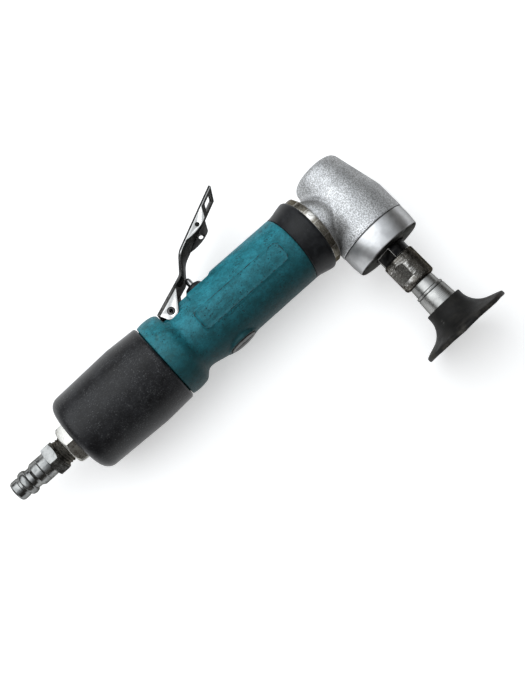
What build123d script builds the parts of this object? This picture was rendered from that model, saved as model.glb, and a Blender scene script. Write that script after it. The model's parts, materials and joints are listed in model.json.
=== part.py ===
from build123d import *
import os
from math import acos, atan2, cos, degrees, hypot, pi, radians, sin, tan

# Right-angle air polisher lying on its side, in millimetres.
# The origin is the centre of the pad's working face. +Y runs up the spindle to the gear head,
# +X runs along the motor from the hose nipple to the head, and +Z is up as the tool lies.

# Clearances
slip = 0.05  # radial play between pieces that slide together and stay put
running = 0.04  # radial play of a shaft that turns or slides in its bore
free_gap = 0.3  # room between pieces that move past one another

# Bevel gears
gear_module = 1.5
pinion_teeth = 13
gear_teeth = 17
face_width = 5.2
pressure_angle = 20.0
backlash = 0.3  # taken off the pitch thickness of each tooth
root_clearance = 0.4
gear_rim = 2.6  # solid rim behind the teeth
pinion_rim = 1.6

# Spindle line, from the motor axis down to the pad
head_drop = 20.8  # motor axis to the joint of casting and bearing cap
cap_length = 12.2
cap_floor = 3.0
flats_length = 5.6  # spindle end that shows below the cap
nut_length = 16.4
neck_length = 5.4
hub_length = 9.6
pad_height = 16.8

# Angle head
head_wall = 3.5
head_clearance = 1.9  # room round the bevel gear
pinion_room = 1.0  # room round the pinion's teeth
head_belly_drop = 6.0  # motor axis to the widest round of the casting
head_top_rise = 22.9  # motor axis to the crown of the casting
head_top_radius = 13.2
head_top_round = 4.2
head_belly_round = 14.0
head_crown = 0.7
neck_step = 0.45  # neck over its threaded stub
neck_wall = 2.8
neck_blend = 2.4
cap_step = 0.25  # casting over the bearing cap
cap_taper = 0.6
cap_round = 1.2
cap_spigot_length = 5.0
cap_spigot_wall = 1.6

# Bearings: outer radius, bore radius and width
shaft_bearing_outer = 8.0
shaft_bearing_bore = 4.0
shaft_bearing_width = 5.0
pinion_bearing_bore = 5.0
pinion_bearing_width = 7.0
pinion_bearing_reach = 1.0  # bearing past the front of the lock ring
pinion_shoulder = 1.2
upper_bearing_outer = 8.0
upper_bearing_bore = 4.0
upper_bearing_width = 7.0
upper_bearing_tuck = 0.35  # bearing below the top of the pinion's pitch circle
lower_bearing_bore = 7.0
lower_bearing_width = 8.0
shield_depth = 0.4
clip_width = 1.6
clip_thickness = 1.2

# Spindle end, collet and nut
spindle_shaft_radius = 5.0
spindle_end_radius = 7.9
spindle_flats = 13.0  # across the two wrench flats
flats_angle = -54.0  # wrench flats turned about the spindle from the motor axis
spindle_thread_radius = 6.2
spindle_thread_length = 8.0
collet_radius = 4.5
collet_length = 24.0
collet_nose = 5.0
collet_slit = 0.7
collet_slit_length = 17.0
shank_radius = 3.175
shank_length = 26.0
shank_room = 1.0  # free bore in the spindle beyond the shank
nut_radius = 8.68
nut_flats = 14.4
nut_flat_length = 8.0
nut_round = 1.6
key_width = 2.0
key_length = 6.0

# Pad and its mandrel
neck_radius = 6.6
neck_flare = 0.25
hub_radius = 7.7
hub_flare = 0.45
hub_edge = 0.5
hub_groove_setback = 1.5
hub_groove_depth = 0.5
hub_groove_half = 0.25
pad_radius = 24.0
pad_top_radius = 10.1
pad_top_round = 0.6
pad_collar = 2.0  # straight top of the pad above its flare
pad_flare = 10.8
pad_rim_height = 2.18  # upright edge of the rim
pad_rim_round = 0.8
stud_radius = 4.0
socket_radius = 5.0  # wall of the threaded socket that takes a disc
socket_depth = 7.0
socket_outer = 8.0
socket_floor = 1.5

# Air motor
rotor_radius = 10.0
rotor_length = 27.4
shaft_radius = 4.0
eccentricity = 1.2
cylinder_wall = 1.85
plate_length = 7.5
plate_hole_radius = 4.6
vane_count = 4
vane_thickness = 1.5
vane_depth = 5.0
vane_room = 0.2  # slot deeper than the vane
spline_radius = 3.2
spline_length = 9.0
dowel_radius = 1.25
exhaust_port_radius = 2.2

# Grip housing, from the lock ring back to the muffler
ring_setback = 20.1  # spindle axis to the front of the lock ring
lock_ring_length = 3.7
lock_ring_radius = 19.3
lock_ring_flat_count = 8
lock_ring_flat_depth = 0.35
lock_ring_angle = 17.5
lock_ring_edge = 0.25
stub_length = 7.0  # head stub inside the housing
collar_length = 11.8
collar_wall = 1.7
collar_swell = 1.75  # flare of the front collar over the grip
collar_peak_setback = 1.9
heel_length = 18.2  # lever pin to the joint with the muffler
grip_wall = 4.02
waist_cut = 2.0  # waist under the grip radius
shoulder_rise = 2.45  # rear shoulder over the grip radius
shoulder_length = 9.0
waist_run = 6.7  # rear shoulder down to the waist
spigot_length = 8.0
tube_radius = 12.5

# Name panel outline on the side of the grip
panel_length = 52.5
panel_width = 11.0
panel_corner = 2.6
panel_rise = 0.35
panel_line = 0.7
panel_setback = 33.2
panel_offset = -1.1

# Muffler, inlet bushing and hose nipple
muffler_length = 54.6
muffler_rear_radius = 20.9
muffler_peak_radius = 22.3
muffler_peak_setback = 17.5
muffler_front_radius = 21.5
muffler_round = 5.4
muffler_peak_round = 6.0
muffler_lip_round = 1.6
muffler_floor = 4.0
muffler_wall = 3.3
vent_count = 10
vent_radius = 1.6
felt_gap = 1.5
bushing_hex = 19.0
bushing_hex_length = 6.1
bushing_hex_angle = 37.0
bushing_hex_edge = 0.2
bushing_hex_bevel = 2.0
bushing_stem_radius = 9.5
bushing_stem_length = 16.0
inlet_radius = 5.0
nipple_thread_radius = 6.7
nipple_thread_show = 5.1
nipple_thread_depth = 8.0
nipple_hex = 15.0
nipple_hex_length = 5.6
nipple_hex_angle = 45.0
nipple_hex_bevel = 0.5
nipple_body_radius = 6.18
nipple_body_length = 8.2
nipple_tip_radius = 5.2
nipple_neck_length = 2.2
nipple_bead_radius = 6.26
nipple_bead_width = 3.8
nipple_tip_length = 5.0
nipple_lead = 0.7
nipple_cone = 1.6
nipple_bore = 3.6

# Throttle valve
valve_setback = 10.4  # bottom of the motor chamber to the valve axis
valve_flat_drop = 3.0  # flat for the stem bushing, below the grip radius
valve_flat_front = 8.1
valve_flat_rear = 6.2
valve_bore_radius = 4.5
valve_step = 0.5  # lower bore is smaller by this, so the seat has a ledge
stem_radius = 1.7
stem_bushing_lip = 0.4  # flange over the valve bore
stem_bushing_rise = 3.9
stem_bushing_round = 1.6
stem_bushing_depth = 3.0
gallery_length = 4.0
seat_thickness = 2.0
seat_hole_radius = 2.6
seal_thickness = 1.2
poppet_radius = 3.4
poppet_thickness = 2.0
spring_length = 13.0
spring_radius = 2.6
spring_wire = 0.8
spring_turns = 5
port_radius = 2.0
exhaust_radius = 3.0
exhaust_offset = 10.5

# Speed regulator on the underside
regulator_radius = 7.4
regulator_rise = 0.4
regulator_disc = 4.2
regulator_slot = 1.4
regulator_slot_length = 11.1
regulator_slot_depth = 1.0
regulator_boss_wall = 1.4
regulator_boss_rise = 0.1
regulator_seal_wire = 0.9

# Throttle lever, a stamped channel
lever_width = 19.6
lever_sheet = 1.4
lever_rest_angle = 20.7
lever_front_angle = 25.1
lever_bend_angle = 52.0
pivot_setback = 16.4  # valve axis to the lever pin
pivot_rise = 14.31  # lever pin above the motor axis
pivot_depth = 5.25  # lever pin below the outside of the web
lever_rear_overhang = 4.8
lever_rear_run = 17.6
lever_bend_run = 11.2
lever_front_run = 37.15
lever_bend_foot = 4.0
lever_bend_crest = 14.0
ear_length = 12.4  # ear in front of the pin along the web
ear_drop = 3.4  # ear below the pin
ear_toe = 2.5
ear_toe_drop = 2.5
ear_heel = 4.4
ear_heel_drop = 0.7
pocket_room = 2.0  # housing's pocket behind the lever
pocket_mouth = 5.4  # rounded edge behind the pocket, along the motor
pocket_mouth_drop = 2.8
lobe_start = 6.5
lobe_length = 19.8
lobe_depth = 5.0
lobe_low_run = 14.7
lobe_fall = 0.7  # slope at the rear of the lobe
lobe_lift = 0.15
latch_hole_radius = 1.2
latch_hole_run = 16.5
latch_hole_depth = 3.15
latch_slot_length = 6.3
latch_slot_width = 11.5
latch_slot_run = 31.9
latch_slot_round = 0.8
pin_radius = 2.0
pin_bore = 1.0
pin_slit = 0.5
pin_wall = 1.1
lever_edge = 0.9

# Gear geometry that follows from the module and the tooth counts
pinion_pitch = gear_module * pinion_teeth / 2
gear_pitch = gear_module * gear_teeth / 2
cone_length = hypot(pinion_pitch, gear_pitch)
pinion_cone = degrees(atan2(pinion_pitch, gear_pitch))
gear_cone = 90 - pinion_cone
dedendum = gear_module + root_clearance
small_end = 1 - face_width / cone_length

# Stations up and down the spindle, measured from the motor axis
parting_y = -head_drop
cap_y = parting_y - cap_length
nut_top_y = cap_y - flats_length
nut_end_y = nut_top_y - nut_length
hub_top_y = nut_end_y - neck_length
pad_top_y = hub_top_y - hub_length
axis_height = -(pad_top_y - pad_height)
lower_bearing_y = cap_y + cap_floor
upper_bearing_y = pinion_pitch - upper_bearing_tuck

# Radii of the angle head, built out from the gear
gear_tip = gear_pitch + gear_module * cos(radians(gear_cone))
pinion_tip = pinion_pitch + gear_module * cos(radians(pinion_cone))
pinion_tip_x = gear_pitch - gear_module * sin(radians(pinion_cone))
cavity_radius = gear_tip + head_clearance
head_radius = cavity_radius + head_wall
cap_radius = head_radius - cap_step
cap_seat_radius = cavity_radius - cap_spigot_wall

# Radii of the motor, built out from the rotor
bore_radius = rotor_radius + eccentricity + free_gap
cylinder_radius = bore_radius + eccentricity + cylinder_wall
chamber_radius = cylinder_radius + slip
grip_radius = chamber_radius + grip_wall
collar_seat = grip_radius - collar_wall
stub_radius = chamber_radius - slip
neck_outer = stub_radius + neck_step
neck_bore = neck_outer - neck_wall
muffler_bore = muffler_front_radius - muffler_wall
bushing_corner = bushing_hex / 2 / cos(pi / 6)  # hexagon's corners from its axis
spigot_radius = muffler_bore - slip
cylinder_length = rotor_length + 2 * free_gap

# Stations along the motor, measured from the spindle axis
ring_x = -ring_setback
housing_x = ring_x - lock_ring_length
stub_x = housing_x - stub_length
collar_x = housing_x - collar_length
front_plate_x = stub_x - plate_length
cylinder_x = front_plate_x - cylinder_length
chamber_x = cylinder_x - plate_length
valve_x = chamber_x - valve_setback
pivot_x = valve_x - pivot_setback
muffler_x = pivot_x - heel_length
spigot_x = muffler_x - spigot_length
rear_x = muffler_x - muffler_length
tube_x = rear_x + muffler_floor
bushing_x = rear_x - bushing_hex_length
hex_x = bushing_x - nipple_thread_show - nipple_hex_length
body_x = hex_x - nipple_body_length
bead_x = body_x - nipple_cone - nipple_neck_length - nipple_bead_width / 2
tip_x = bead_x - nipple_bead_width / 2 - nipple_tip_length

# Heights of the valve, measured from the motor axis
flat_y = grip_radius - valve_flat_drop
gallery_y = flat_y - stem_bushing_depth
seat_y = gallery_y - gallery_length
ledge_y = seat_y - seat_thickness
poppet_y = ledge_y - seal_thickness - poppet_thickness
spring_y = poppet_y - spring_length
regulator_face_y = -(grip_radius + regulator_boss_rise)
regulator_seat_y = regulator_face_y - regulator_rise + regulator_disc
lower_valve_radius = valve_bore_radius - valve_step
regulator_recess = regulator_radius + free_gap

# Long section through both axes: x along the motor, y up the spindle
section_plane = Plane(origin=(0, axis_height, 0), x_dir=(1, 0, 0), z_dir=(0, 0, 1))
motor_axis = Axis((0, axis_height, 0), (1, 0, 0))
spindle_axis = Axis((0, 0, 0), (0, 1, 0))


def across(x):
    """Plane square to the motor axis; its x is +Y and its y is +Z."""
    return Plane(origin=(x, axis_height, 0), x_dir=(0, 1, 0), z_dir=(1, 0, 0))


def level(y, x=0):
    """Plane square to the spindle axis, y above the motor axis; its x is +X."""
    return Plane(origin=(x, axis_height + y, 0), x_dir=(1, 0, 0), z_dir=(0, 1, 0))


def turn(plane, angle):
    """The same plane, turned about its own normal."""
    x_dir = plane.x_dir * cos(radians(angle)) + plane.y_dir * sin(radians(angle))
    return Plane(origin=plane.origin, x_dir=x_dir, z_dir=plane.z_dir)


def ring(plane, outer, inner, length):
    """A plain ring that stands on a plane."""
    with BuildPart() as piece:
        with BuildSketch(plane):
            Circle(outer)
            Circle(inner, mode=Mode.SUBTRACT)
        extrude(amount=length)
    return piece


def bearing(plane, outer, inner, width):
    """A shielded ball bearing: two races with the shields set back between them."""
    race = (outer - inner) / 4
    with BuildPart() as piece:
        with BuildSketch(plane):
            Circle(outer)
            Circle(inner, mode=Mode.SUBTRACT)
        extrude(amount=width)
        with BuildSketch(plane, plane.offset(width - shield_depth)):
            Circle(outer - race)
            Circle(inner + race, mode=Mode.SUBTRACT)
        extrude(amount=shield_depth, mode=Mode.SUBTRACT)
    return piece


def save(piece, name):
    """Label a finished piece and write it to its own file."""
    piece.part.label = name
    export_step(piece.part, f"parts/{name}.step")


os.makedirs("parts", exist_ok=True)

# Grip housing: moulded body with the motor chamber in front and the valve behind it
shoulder_radius = grip_radius + shoulder_rise
waist_radius = grip_radius - waist_cut
shoulder_x = muffler_x + shoulder_length
waist_x = shoulder_x + waist_run
pocket_rear_x = pivot_x - lever_rear_overhang - pocket_room
pocket_front_x = valve_x - valve_flat_rear
pocket_y = pivot_rise - ear_drop - 2 * free_gap
boss_half = lever_width / 2 - lever_sheet - free_gap
regulator_boss_radius = regulator_recess + regulator_boss_wall

with BuildPart() as panel_outline:
    with BuildSketch(Plane(origin=(collar_x - panel_setback, axis_height + panel_offset, 0))):
        RectangleRounded(panel_length, panel_width, panel_corner)
        RectangleRounded(
            panel_length - 2 * panel_line,
            panel_width - 2 * panel_line,
            panel_corner - panel_line,
            mode=Mode.SUBTRACT,
        )
    extrude(amount=2 * grip_radius)
    with BuildSketch(across(muffler_x)):
        Circle(grip_radius + panel_rise)
    extrude(amount=collar_x - muffler_x, mode=Mode.INTERSECT)

with BuildPart() as motor_housing:
    with BuildSketch(section_plane):
        with BuildLine():
            rear = Polyline(
                (tube_x, 0),
                (tube_x, tube_radius),
                (spigot_x, tube_radius),
                (spigot_x, spigot_radius),
                (muffler_x, spigot_radius),
                (muffler_x, shoulder_radius - shoulder_rise / 6),
            )
            crown = ThreePointArc(
                rear @ 1,
                (muffler_x + shoulder_length / 3, shoulder_radius),
                (shoulder_x, shoulder_radius - shoulder_rise / 5),
            )
            heel = Spline(
                crown @ 1,
                (waist_x, waist_radius),
                tangents=(crown % 1, (1, 0.05)),
            )
            Spline(
                heel @ 1,
                (pocket_front_x, grip_radius),
                tangents=(heel % 1, (1, 0)),
            )
            Polyline(
                (pocket_front_x, grip_radius),
                (collar_x, grip_radius),
                (collar_x, collar_seat),
                (housing_x, collar_seat),
                (housing_x, 0),
                (tube_x, 0),
            )
        make_face()
    revolve(axis=motor_axis)
    # Boss round the regulator on the underside
    with BuildSketch(level(regulator_face_y, valve_x)):
        Circle(regulator_boss_radius)
    extrude(amount=regulator_boss_radius)
    # Flat for the stem bushing and the lever's web, with a ramp up to the grip
    with BuildSketch(section_plane):
        Polygon(
            (pivot_x, flat_y),
            (valve_x + valve_flat_front, flat_y),
            (valve_x + valve_flat_front + 2 * valve_flat_drop, grip_radius + valve_flat_drop),
            (pivot_x, shoulder_radius),
            align=None,
        )
    extrude(amount=grip_radius, both=True, mode=Mode.SUBTRACT)
    # Pockets beside the pin boss for the lever's ears, and room behind it for the web
    for side in (-1, 1):
        with BuildSketch(section_plane.offset(side * boss_half)):
            with Locations(((pocket_rear_x + pocket_front_x) / 2, pocket_y)):
                Rectangle(
                    pocket_front_x - pocket_rear_x,
                    shoulder_radius,
                    align=(Align.CENTER, Align.MIN),
                )
        extrude(amount=side * shoulder_radius, mode=Mode.SUBTRACT)
    with BuildSketch(section_plane):
        with Locations((pocket_rear_x, pivot_rise - pin_wall)):
            Rectangle(
                pivot_x - pocket_rear_x,
                shoulder_radius,
                align=(Align.MIN, Align.MIN),
            )
    extrude(amount=boss_half, both=True, mode=Mode.SUBTRACT)
    with BuildSketch(section_plane):
        with BuildLine():
            mouth = TangentArc(
                (pocket_rear_x - pocket_mouth, shoulder_radius),
                (pocket_rear_x, shoulder_radius - pocket_mouth_drop),
                tangent=(1, 0),
            )
            Polyline(mouth @ 1, (pocket_rear_x, shoulder_radius), mouth @ 0)
        make_face()
    extrude(amount=shoulder_radius, both=True, mode=Mode.SUBTRACT)
    with BuildSketch(section_plane):
        with Locations((pivot_x, pivot_rise)):
            Circle(pin_radius + pin_wall)
    extrude(amount=boss_half, both=True)
    add(panel_outline.part)
    # Bores: motor chamber, valve, regulator, inlet, pin, exhaust channels and air port
    with BuildSketch(across(chamber_x)):
        Circle(chamber_radius)
    extrude(amount=housing_x - chamber_x, mode=Mode.SUBTRACT)
    with BuildSketch(level(ledge_y, valve_x)):
        Circle(valve_bore_radius)
    extrude(amount=grip_radius, mode=Mode.SUBTRACT)
    with BuildSketch(level(regulator_face_y, valve_x)):
        Circle(lower_valve_radius)
    extrude(amount=ledge_y - regulator_face_y, mode=Mode.SUBTRACT)
    with BuildSketch(level(regulator_face_y, valve_x)):
        Circle(regulator_recess)
    extrude(amount=regulator_seat_y - regulator_face_y, mode=Mode.SUBTRACT)
    with BuildSketch(across(tube_x)):
        Circle(inlet_radius)
    extrude(amount=valve_x - tube_x, mode=Mode.SUBTRACT)
    with BuildSketch(across(tube_x)):
        Circle(bushing_stem_radius)
    extrude(amount=bushing_stem_length - muffler_floor, mode=Mode.SUBTRACT)
    with BuildSketch(section_plane):
        with Locations((pivot_x, pivot_rise)):
            Circle(pin_radius)
    extrude(amount=boss_half, both=True, mode=Mode.SUBTRACT)
    with BuildSketch(across(spigot_x)):
        with Locations((0, exhaust_offset), (0, -exhaust_offset)):
            Circle(exhaust_radius)
    extrude(amount=chamber_x - spigot_x, mode=Mode.SUBTRACT)
    with BuildSketch(across(valve_x)):
        with Locations((gallery_y - gallery_length / 2, 0)):
            Circle(port_radius)
    extrude(amount=valve_setback, mode=Mode.SUBTRACT)
save(motor_housing, "motor_housing")

# Front collar: flared rubbery sleeve pressed over the front of the housing
with BuildPart() as front_collar:
    with BuildSketch(section_plane):
        with BuildLine():
            Polyline(
                (housing_x, grip_radius + collar_swell / 2),
                (housing_x, collar_seat),
                (collar_x, collar_seat),
                (collar_x, grip_radius),
            )
            flare = Spline(
                (collar_x, grip_radius),
                (housing_x - collar_peak_setback, grip_radius + collar_swell),
                tangents=((1, 0), (1, 0.16)),
            )
            RadiusArc(
                flare @ 1,
                (housing_x, grip_radius + collar_swell / 2),
                collar_peak_setback,
            )
        make_face()
    revolve(axis=motor_axis)
save(front_collar, "front_collar")

# Muffler cap: black shell over the rear spigot, vented round the inlet
with BuildPart() as muffler_cap:
    with BuildSketch(section_plane):
        with BuildLine():
            FilletPolyline(
                (rear_x, 0),
                (rear_x, muffler_rear_radius),
                (muffler_x - muffler_peak_setback, muffler_peak_radius),
                (muffler_x - free_gap, muffler_front_radius),
                (muffler_x - free_gap, 0),
                radius=(muffler_round, muffler_peak_round, muffler_lip_round),
            )
            Line((rear_x, 0), (muffler_x - free_gap, 0))
        make_face()
    revolve(axis=motor_axis)
    with BuildSketch(across(tube_x)):
        Circle(muffler_bore)
    extrude(amount=muffler_length, mode=Mode.SUBTRACT)
    vent_circle = (bushing_corner + muffler_rear_radius - muffler_round) / 2
    with BuildSketch(across(rear_x)):
        Circle(bushing_stem_radius + slip)
        with PolarLocations(vent_circle, vent_count):
            Circle(vent_radius)
    extrude(amount=muffler_floor, mode=Mode.SUBTRACT)
save(muffler_cap, "muffler_cap")

# Silencer felt: a sleeve in the muffler round the inlet tube
silencer_felt = ring(
    across(tube_x + felt_gap), muffler_bore, tube_radius, spigot_x - tube_x - 2 * felt_gap
)
save(silencer_felt, "silencer_felt")

# Inlet bushing: hexagon that clamps the muffler and takes the nipple's thread
with BuildPart() as inlet_bushing:
    with BuildSketch(across(bushing_x)):
        RegularPolygon(bushing_hex / 2, 6, major_radius=False, rotation=bushing_hex_angle)
    extrude(amount=bushing_hex_length)
    with BuildSketch(section_plane):
        with BuildLine():
            Polyline(
                (bushing_x, 0),
                (bushing_x, bushing_hex / 2 - bushing_hex_edge),
                (bushing_x + bushing_hex_bevel, bushing_corner),
                (rear_x, bushing_corner),
                (rear_x, 0),
                close=True,
            )
        make_face()
    revolve(axis=motor_axis, mode=Mode.INTERSECT)
    with BuildSketch(across(rear_x)):
        Circle(bushing_stem_radius)
    extrude(amount=bushing_stem_length)
    with BuildSketch(across(bushing_x)):
        Circle(nipple_thread_radius)
    extrude(amount=nipple_thread_depth, mode=Mode.SUBTRACT)
    with BuildSketch(across(bushing_x)):
        Circle(inlet_radius)
    extrude(amount=bushing_hex_length + bushing_stem_length, mode=Mode.SUBTRACT)
save(inlet_bushing, "inlet_bushing")

# Air nipple: turned quick-connect plug with a hexagon and a tapered thread
with BuildPart() as air_nipple:
    with BuildSketch(section_plane):
        with BuildLine():
            tip = Polyline(
                (tip_x, 0),
                (tip_x, nipple_tip_radius - nipple_lead),
                (tip_x + nipple_lead, nipple_tip_radius),
                (bead_x - nipple_bead_width / 2, nipple_tip_radius),
            )
            bead = ThreePointArc(
                tip @ 1,
                (bead_x, nipple_bead_radius),
                (bead_x + nipple_bead_width / 2, nipple_tip_radius),
            )
            Polyline(
                bead @ 1,
                (body_x - nipple_cone, nipple_tip_radius),
                (body_x, nipple_body_radius),
                (hex_x, nipple_body_radius),
                (hex_x + nipple_hex_length, nipple_body_radius),
                (hex_x + nipple_hex_length, nipple_thread_radius),
                (bushing_x + nipple_thread_depth, nipple_thread_radius),
                (bushing_x + nipple_thread_depth, 0),
                (tip_x, 0),
            )
        make_face()
    revolve(axis=motor_axis)
    with BuildSketch(across(hex_x)):
        RegularPolygon(nipple_hex / 2, 6, major_radius=False, rotation=nipple_hex_angle)
    extrude(amount=nipple_hex_length)
    hex_edges = air_nipple.edges().filter_by(Axis.X, reverse=True).filter_by(GeomType.LINE)
    chamfer(hex_edges, nipple_hex_bevel)
    with BuildSketch(across(tip_x)):
        Circle(nipple_bore)
    extrude(amount=bushing_x + nipple_thread_depth - tip_x, mode=Mode.SUBTRACT)
save(air_nipple, "air_nipple")

# Stem bushing: black guide for the valve stem, seated on the housing's flat
with BuildPart() as stem_bushing:
    with BuildSketch(level(flat_y, valve_x)):
        Circle(valve_bore_radius + stem_bushing_lip)
    extrude(amount=stem_bushing_rise)
    fillet(stem_bushing.edges().group_by(Axis.Y)[-1], stem_bushing_round)
    with BuildSketch(level(gallery_y, valve_x)):
        Circle(valve_bore_radius)
    extrude(amount=stem_bushing_depth)
    with BuildSketch(level(gallery_y, valve_x)):
        Circle(stem_radius + running)
    extrude(amount=stem_bushing_depth + stem_bushing_rise, mode=Mode.SUBTRACT)
save(stem_bushing, "stem_bushing")

# Valve seat: ring on the ledge of the valve bore
valve_seat = ring(level(ledge_y, valve_x), valve_bore_radius, seat_hole_radius, seat_thickness)
save(valve_seat, "valve_seat")

# Valve stem: domed push rod with a poppet at its inner end
rest_angle = radians(lever_rest_angle)
web_inside = pivot_depth - lever_sheet
stem_centre_y = (
    pivot_rise
    + pivot_setback * tan(rest_angle)
    + (web_inside - stem_radius - free_gap) / cos(rest_angle)
)
with BuildPart() as valve_stem:
    with BuildSketch(level(poppet_y, valve_x)):
        Circle(poppet_radius)
    extrude(amount=poppet_thickness)
    with BuildSketch(level(poppet_y, valve_x)):
        Circle(stem_radius)
    extrude(amount=stem_centre_y - poppet_y)
    with Locations((valve_x, axis_height + stem_centre_y, 0)):
        Sphere(stem_radius)
save(valve_stem, "valve_stem")

# Valve seal: rubber washer on the poppet, closing against the seat
valve_seal = ring(
    level(poppet_y + poppet_thickness, valve_x), poppet_radius, stem_radius, seal_thickness
)
save(valve_seal, "valve_seal")

# Valve spring: coil between the regulator and the poppet
with BuildPart() as valve_spring:
    coil_rise = spring_length - spring_wire - 2 * slip
    with BuildLine():
        coil = Helix(
            pitch=coil_rise / spring_turns,
            height=coil_rise,
            radius=spring_radius,
            center=(valve_x, axis_height + spring_y + spring_wire / 2 + slip, 0),
            direction=(0, 1, 0),
        )
    with BuildSketch(Plane(origin=coil @ 0, z_dir=coil % 0)):
        Circle(spring_wire / 2)
    sweep()
save(valve_spring, "valve_spring")

# Speed regulator: slotted disc in its recess, with a hub up the valve bore
hub_top_radius = lower_valve_radius - running
seal_groove_y = (spring_y + regulator_seat_y) / 2
with BuildPart() as regulator_knob:
    with BuildSketch(level(regulator_face_y - regulator_rise, valve_x)):
        Circle(regulator_radius)
    extrude(amount=regulator_disc - slip)
    fillet(regulator_knob.edges().group_by(Axis.Y)[0], regulator_rise)
    with BuildSketch(level(regulator_seat_y - slip, valve_x)):
        Circle(hub_top_radius)
    extrude(amount=spring_y - regulator_seat_y + slip)
    with BuildSketch(level(seal_groove_y - regulator_seal_wire / 2, valve_x)):
        Circle(hub_top_radius)
        Circle(hub_top_radius - regulator_seal_wire, mode=Mode.SUBTRACT)
    extrude(amount=regulator_seal_wire, mode=Mode.SUBTRACT)
    with BuildSketch(level(regulator_face_y - regulator_rise, valve_x)):
        SlotOverall(regulator_slot_length, regulator_slot)
    extrude(amount=regulator_slot_depth, mode=Mode.SUBTRACT)
save(regulator_knob, "regulator_knob")

# Regulator seal: rubber ring in the hub's groove
regulator_seal = ring(
    level(seal_groove_y - regulator_seal_wire / 2, valve_x),
    hub_top_radius,
    hub_top_radius - regulator_seal_wire,
    regulator_seal_wire,
)
save(regulator_seal, "regulator_seal")

# Lever pin: slit spring pin through the housing's boss
with BuildPart() as lever_pin:
    with BuildSketch(section_plane):
        with Locations((pivot_x, pivot_rise)):
            Circle(pin_radius)
            Circle(pin_bore, mode=Mode.SUBTRACT)
            Rectangle(
                pin_slit, pin_radius, align=(Align.CENTER, Align.MAX), mode=Mode.SUBTRACT
            )
    extrude(amount=lever_width / 2, both=True)
save(lever_pin, "lever_pin")

# Throttle lever: stamped channel whose web kinks upwards between two pairs of flanges
along_rear = Vector(cos(rest_angle), sin(rest_angle))
up_rear = Vector(-sin(rest_angle), cos(rest_angle))
along_front = Vector(cos(radians(lever_front_angle)), sin(radians(lever_front_angle)))
up_front = Vector(-along_front.Y, along_front.X)
along_bend = Vector(cos(radians(lever_bend_angle)), sin(radians(lever_bend_angle)))
pivot = Vector(pivot_x, pivot_rise)
web_rear = pivot + up_rear * pivot_depth - along_rear * lever_rear_overhang
web_foot = pivot + up_rear * pivot_depth + along_rear * lever_rear_run
web_crest = web_foot + along_bend * lever_bend_run
web_tip = web_crest + along_front * lever_front_run
ear_front = pivot + up_rear * pivot_depth + along_rear * ear_length
lobe_rear = web_crest + along_front * lobe_start
lobe_front = lobe_rear + along_front * lobe_length
lobe_low = lobe_rear + along_front * lobe_low_run - up_front * lobe_depth
ear_toe_point = pivot + along_rear * ear_toe - up_rear * ear_toe_drop
ear_heel_point = pivot - along_rear * ear_heel - up_rear * ear_heel_drop
latch_hole = web_crest + along_front * latch_hole_run - up_front * latch_hole_depth
slot_centre = web_crest + along_front * latch_slot_run


def runs_along(edge, line):
    """Whether an edge of the lever lies over a line of its long section."""
    middle = section_plane.to_local_coords(edge @ 0.5)
    return line.distance_to((middle.X, middle.Y, 0)) < slip


with BuildPart() as throttle_lever:
    with BuildSketch(section_plane):
        with BuildLine():
            web_line = FilletPolyline(
                web_rear, web_foot, web_crest, web_tip, radius=(lever_bend_foot, lever_bend_crest)
            )
            offset(amount=lever_sheet, side=Side.RIGHT)
        make_face()
    extrude(amount=lever_width / 2, both=True)
    # Bend radius along both long edges of the web
    sides = throttle_lever.faces().filter_by(Axis.Z).edges()
    fillet(sides.filter_by(lambda edge: runs_along(edge, web_line)), lever_edge)
    for side in (-1, 1):
        flange = section_plane.offset(side * lever_width / 2)
        with BuildSketch(flange):
            with BuildLine():
                Polyline(
                    ear_heel_point,
                    web_rear - up_rear * lever_edge,
                    ear_front - up_rear * lever_edge,
                    ear_toe_point,
                )
                ThreePointArc(ear_toe_point, pivot - up_rear * ear_drop, ear_heel_point)
            make_face()
            with BuildLine():
                Polyline(
                    lobe_low,
                    lobe_front - up_front * lever_edge,
                    lobe_rear - up_front * lever_edge,
                )
                Spline(
                    lobe_rear - up_front * lever_edge,
                    lobe_low,
                    tangents=(along_front - up_front * lobe_fall, along_front + up_front * lobe_lift),
                )
            make_face()
            with Locations((pivot.X, pivot.Y)):
                Circle(pin_radius + running, mode=Mode.SUBTRACT)
            with Locations((latch_hole.X, latch_hole.Y)):
                Circle(latch_hole_radius, mode=Mode.SUBTRACT)
        extrude(amount=-side * lever_sheet)
    with BuildSketch(
        Plane(
            origin=(slot_centre.X, axis_height + slot_centre.Y, 0),
            x_dir=(along_front.X, along_front.Y, 0),
            z_dir=(up_front.X, up_front.Y, 0),
        )
    ):
        RectangleRounded(latch_slot_length, latch_slot_width, latch_slot_round)
    extrude(amount=2 * lever_sheet, both=True, mode=Mode.SUBTRACT)
save(throttle_lever, "throttle_lever")

# Motor end plates: each carries a shaft bearing in a pocket on its outer side
with BuildPart() as rear_plate:
    with BuildSketch(across(chamber_x)):
        Circle(cylinder_radius)
        Circle(plate_hole_radius, mode=Mode.SUBTRACT)
    extrude(amount=plate_length)
    with BuildSketch(across(chamber_x)):
        Circle(shaft_bearing_outer)
    extrude(amount=shaft_bearing_width, mode=Mode.SUBTRACT)
    with BuildSketch(across(chamber_x)):
        with Locations((-(bore_radius + cylinder_radius) / 2 + eccentricity / 2, 0)):
            Circle(dowel_radius)
    extrude(amount=plate_length, mode=Mode.SUBTRACT)
save(rear_plate, "rear_plate")

rear_bearing = bearing(
    across(chamber_x), shaft_bearing_outer, shaft_bearing_bore, shaft_bearing_width
)
save(rear_bearing, "rear_bearing")

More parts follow.
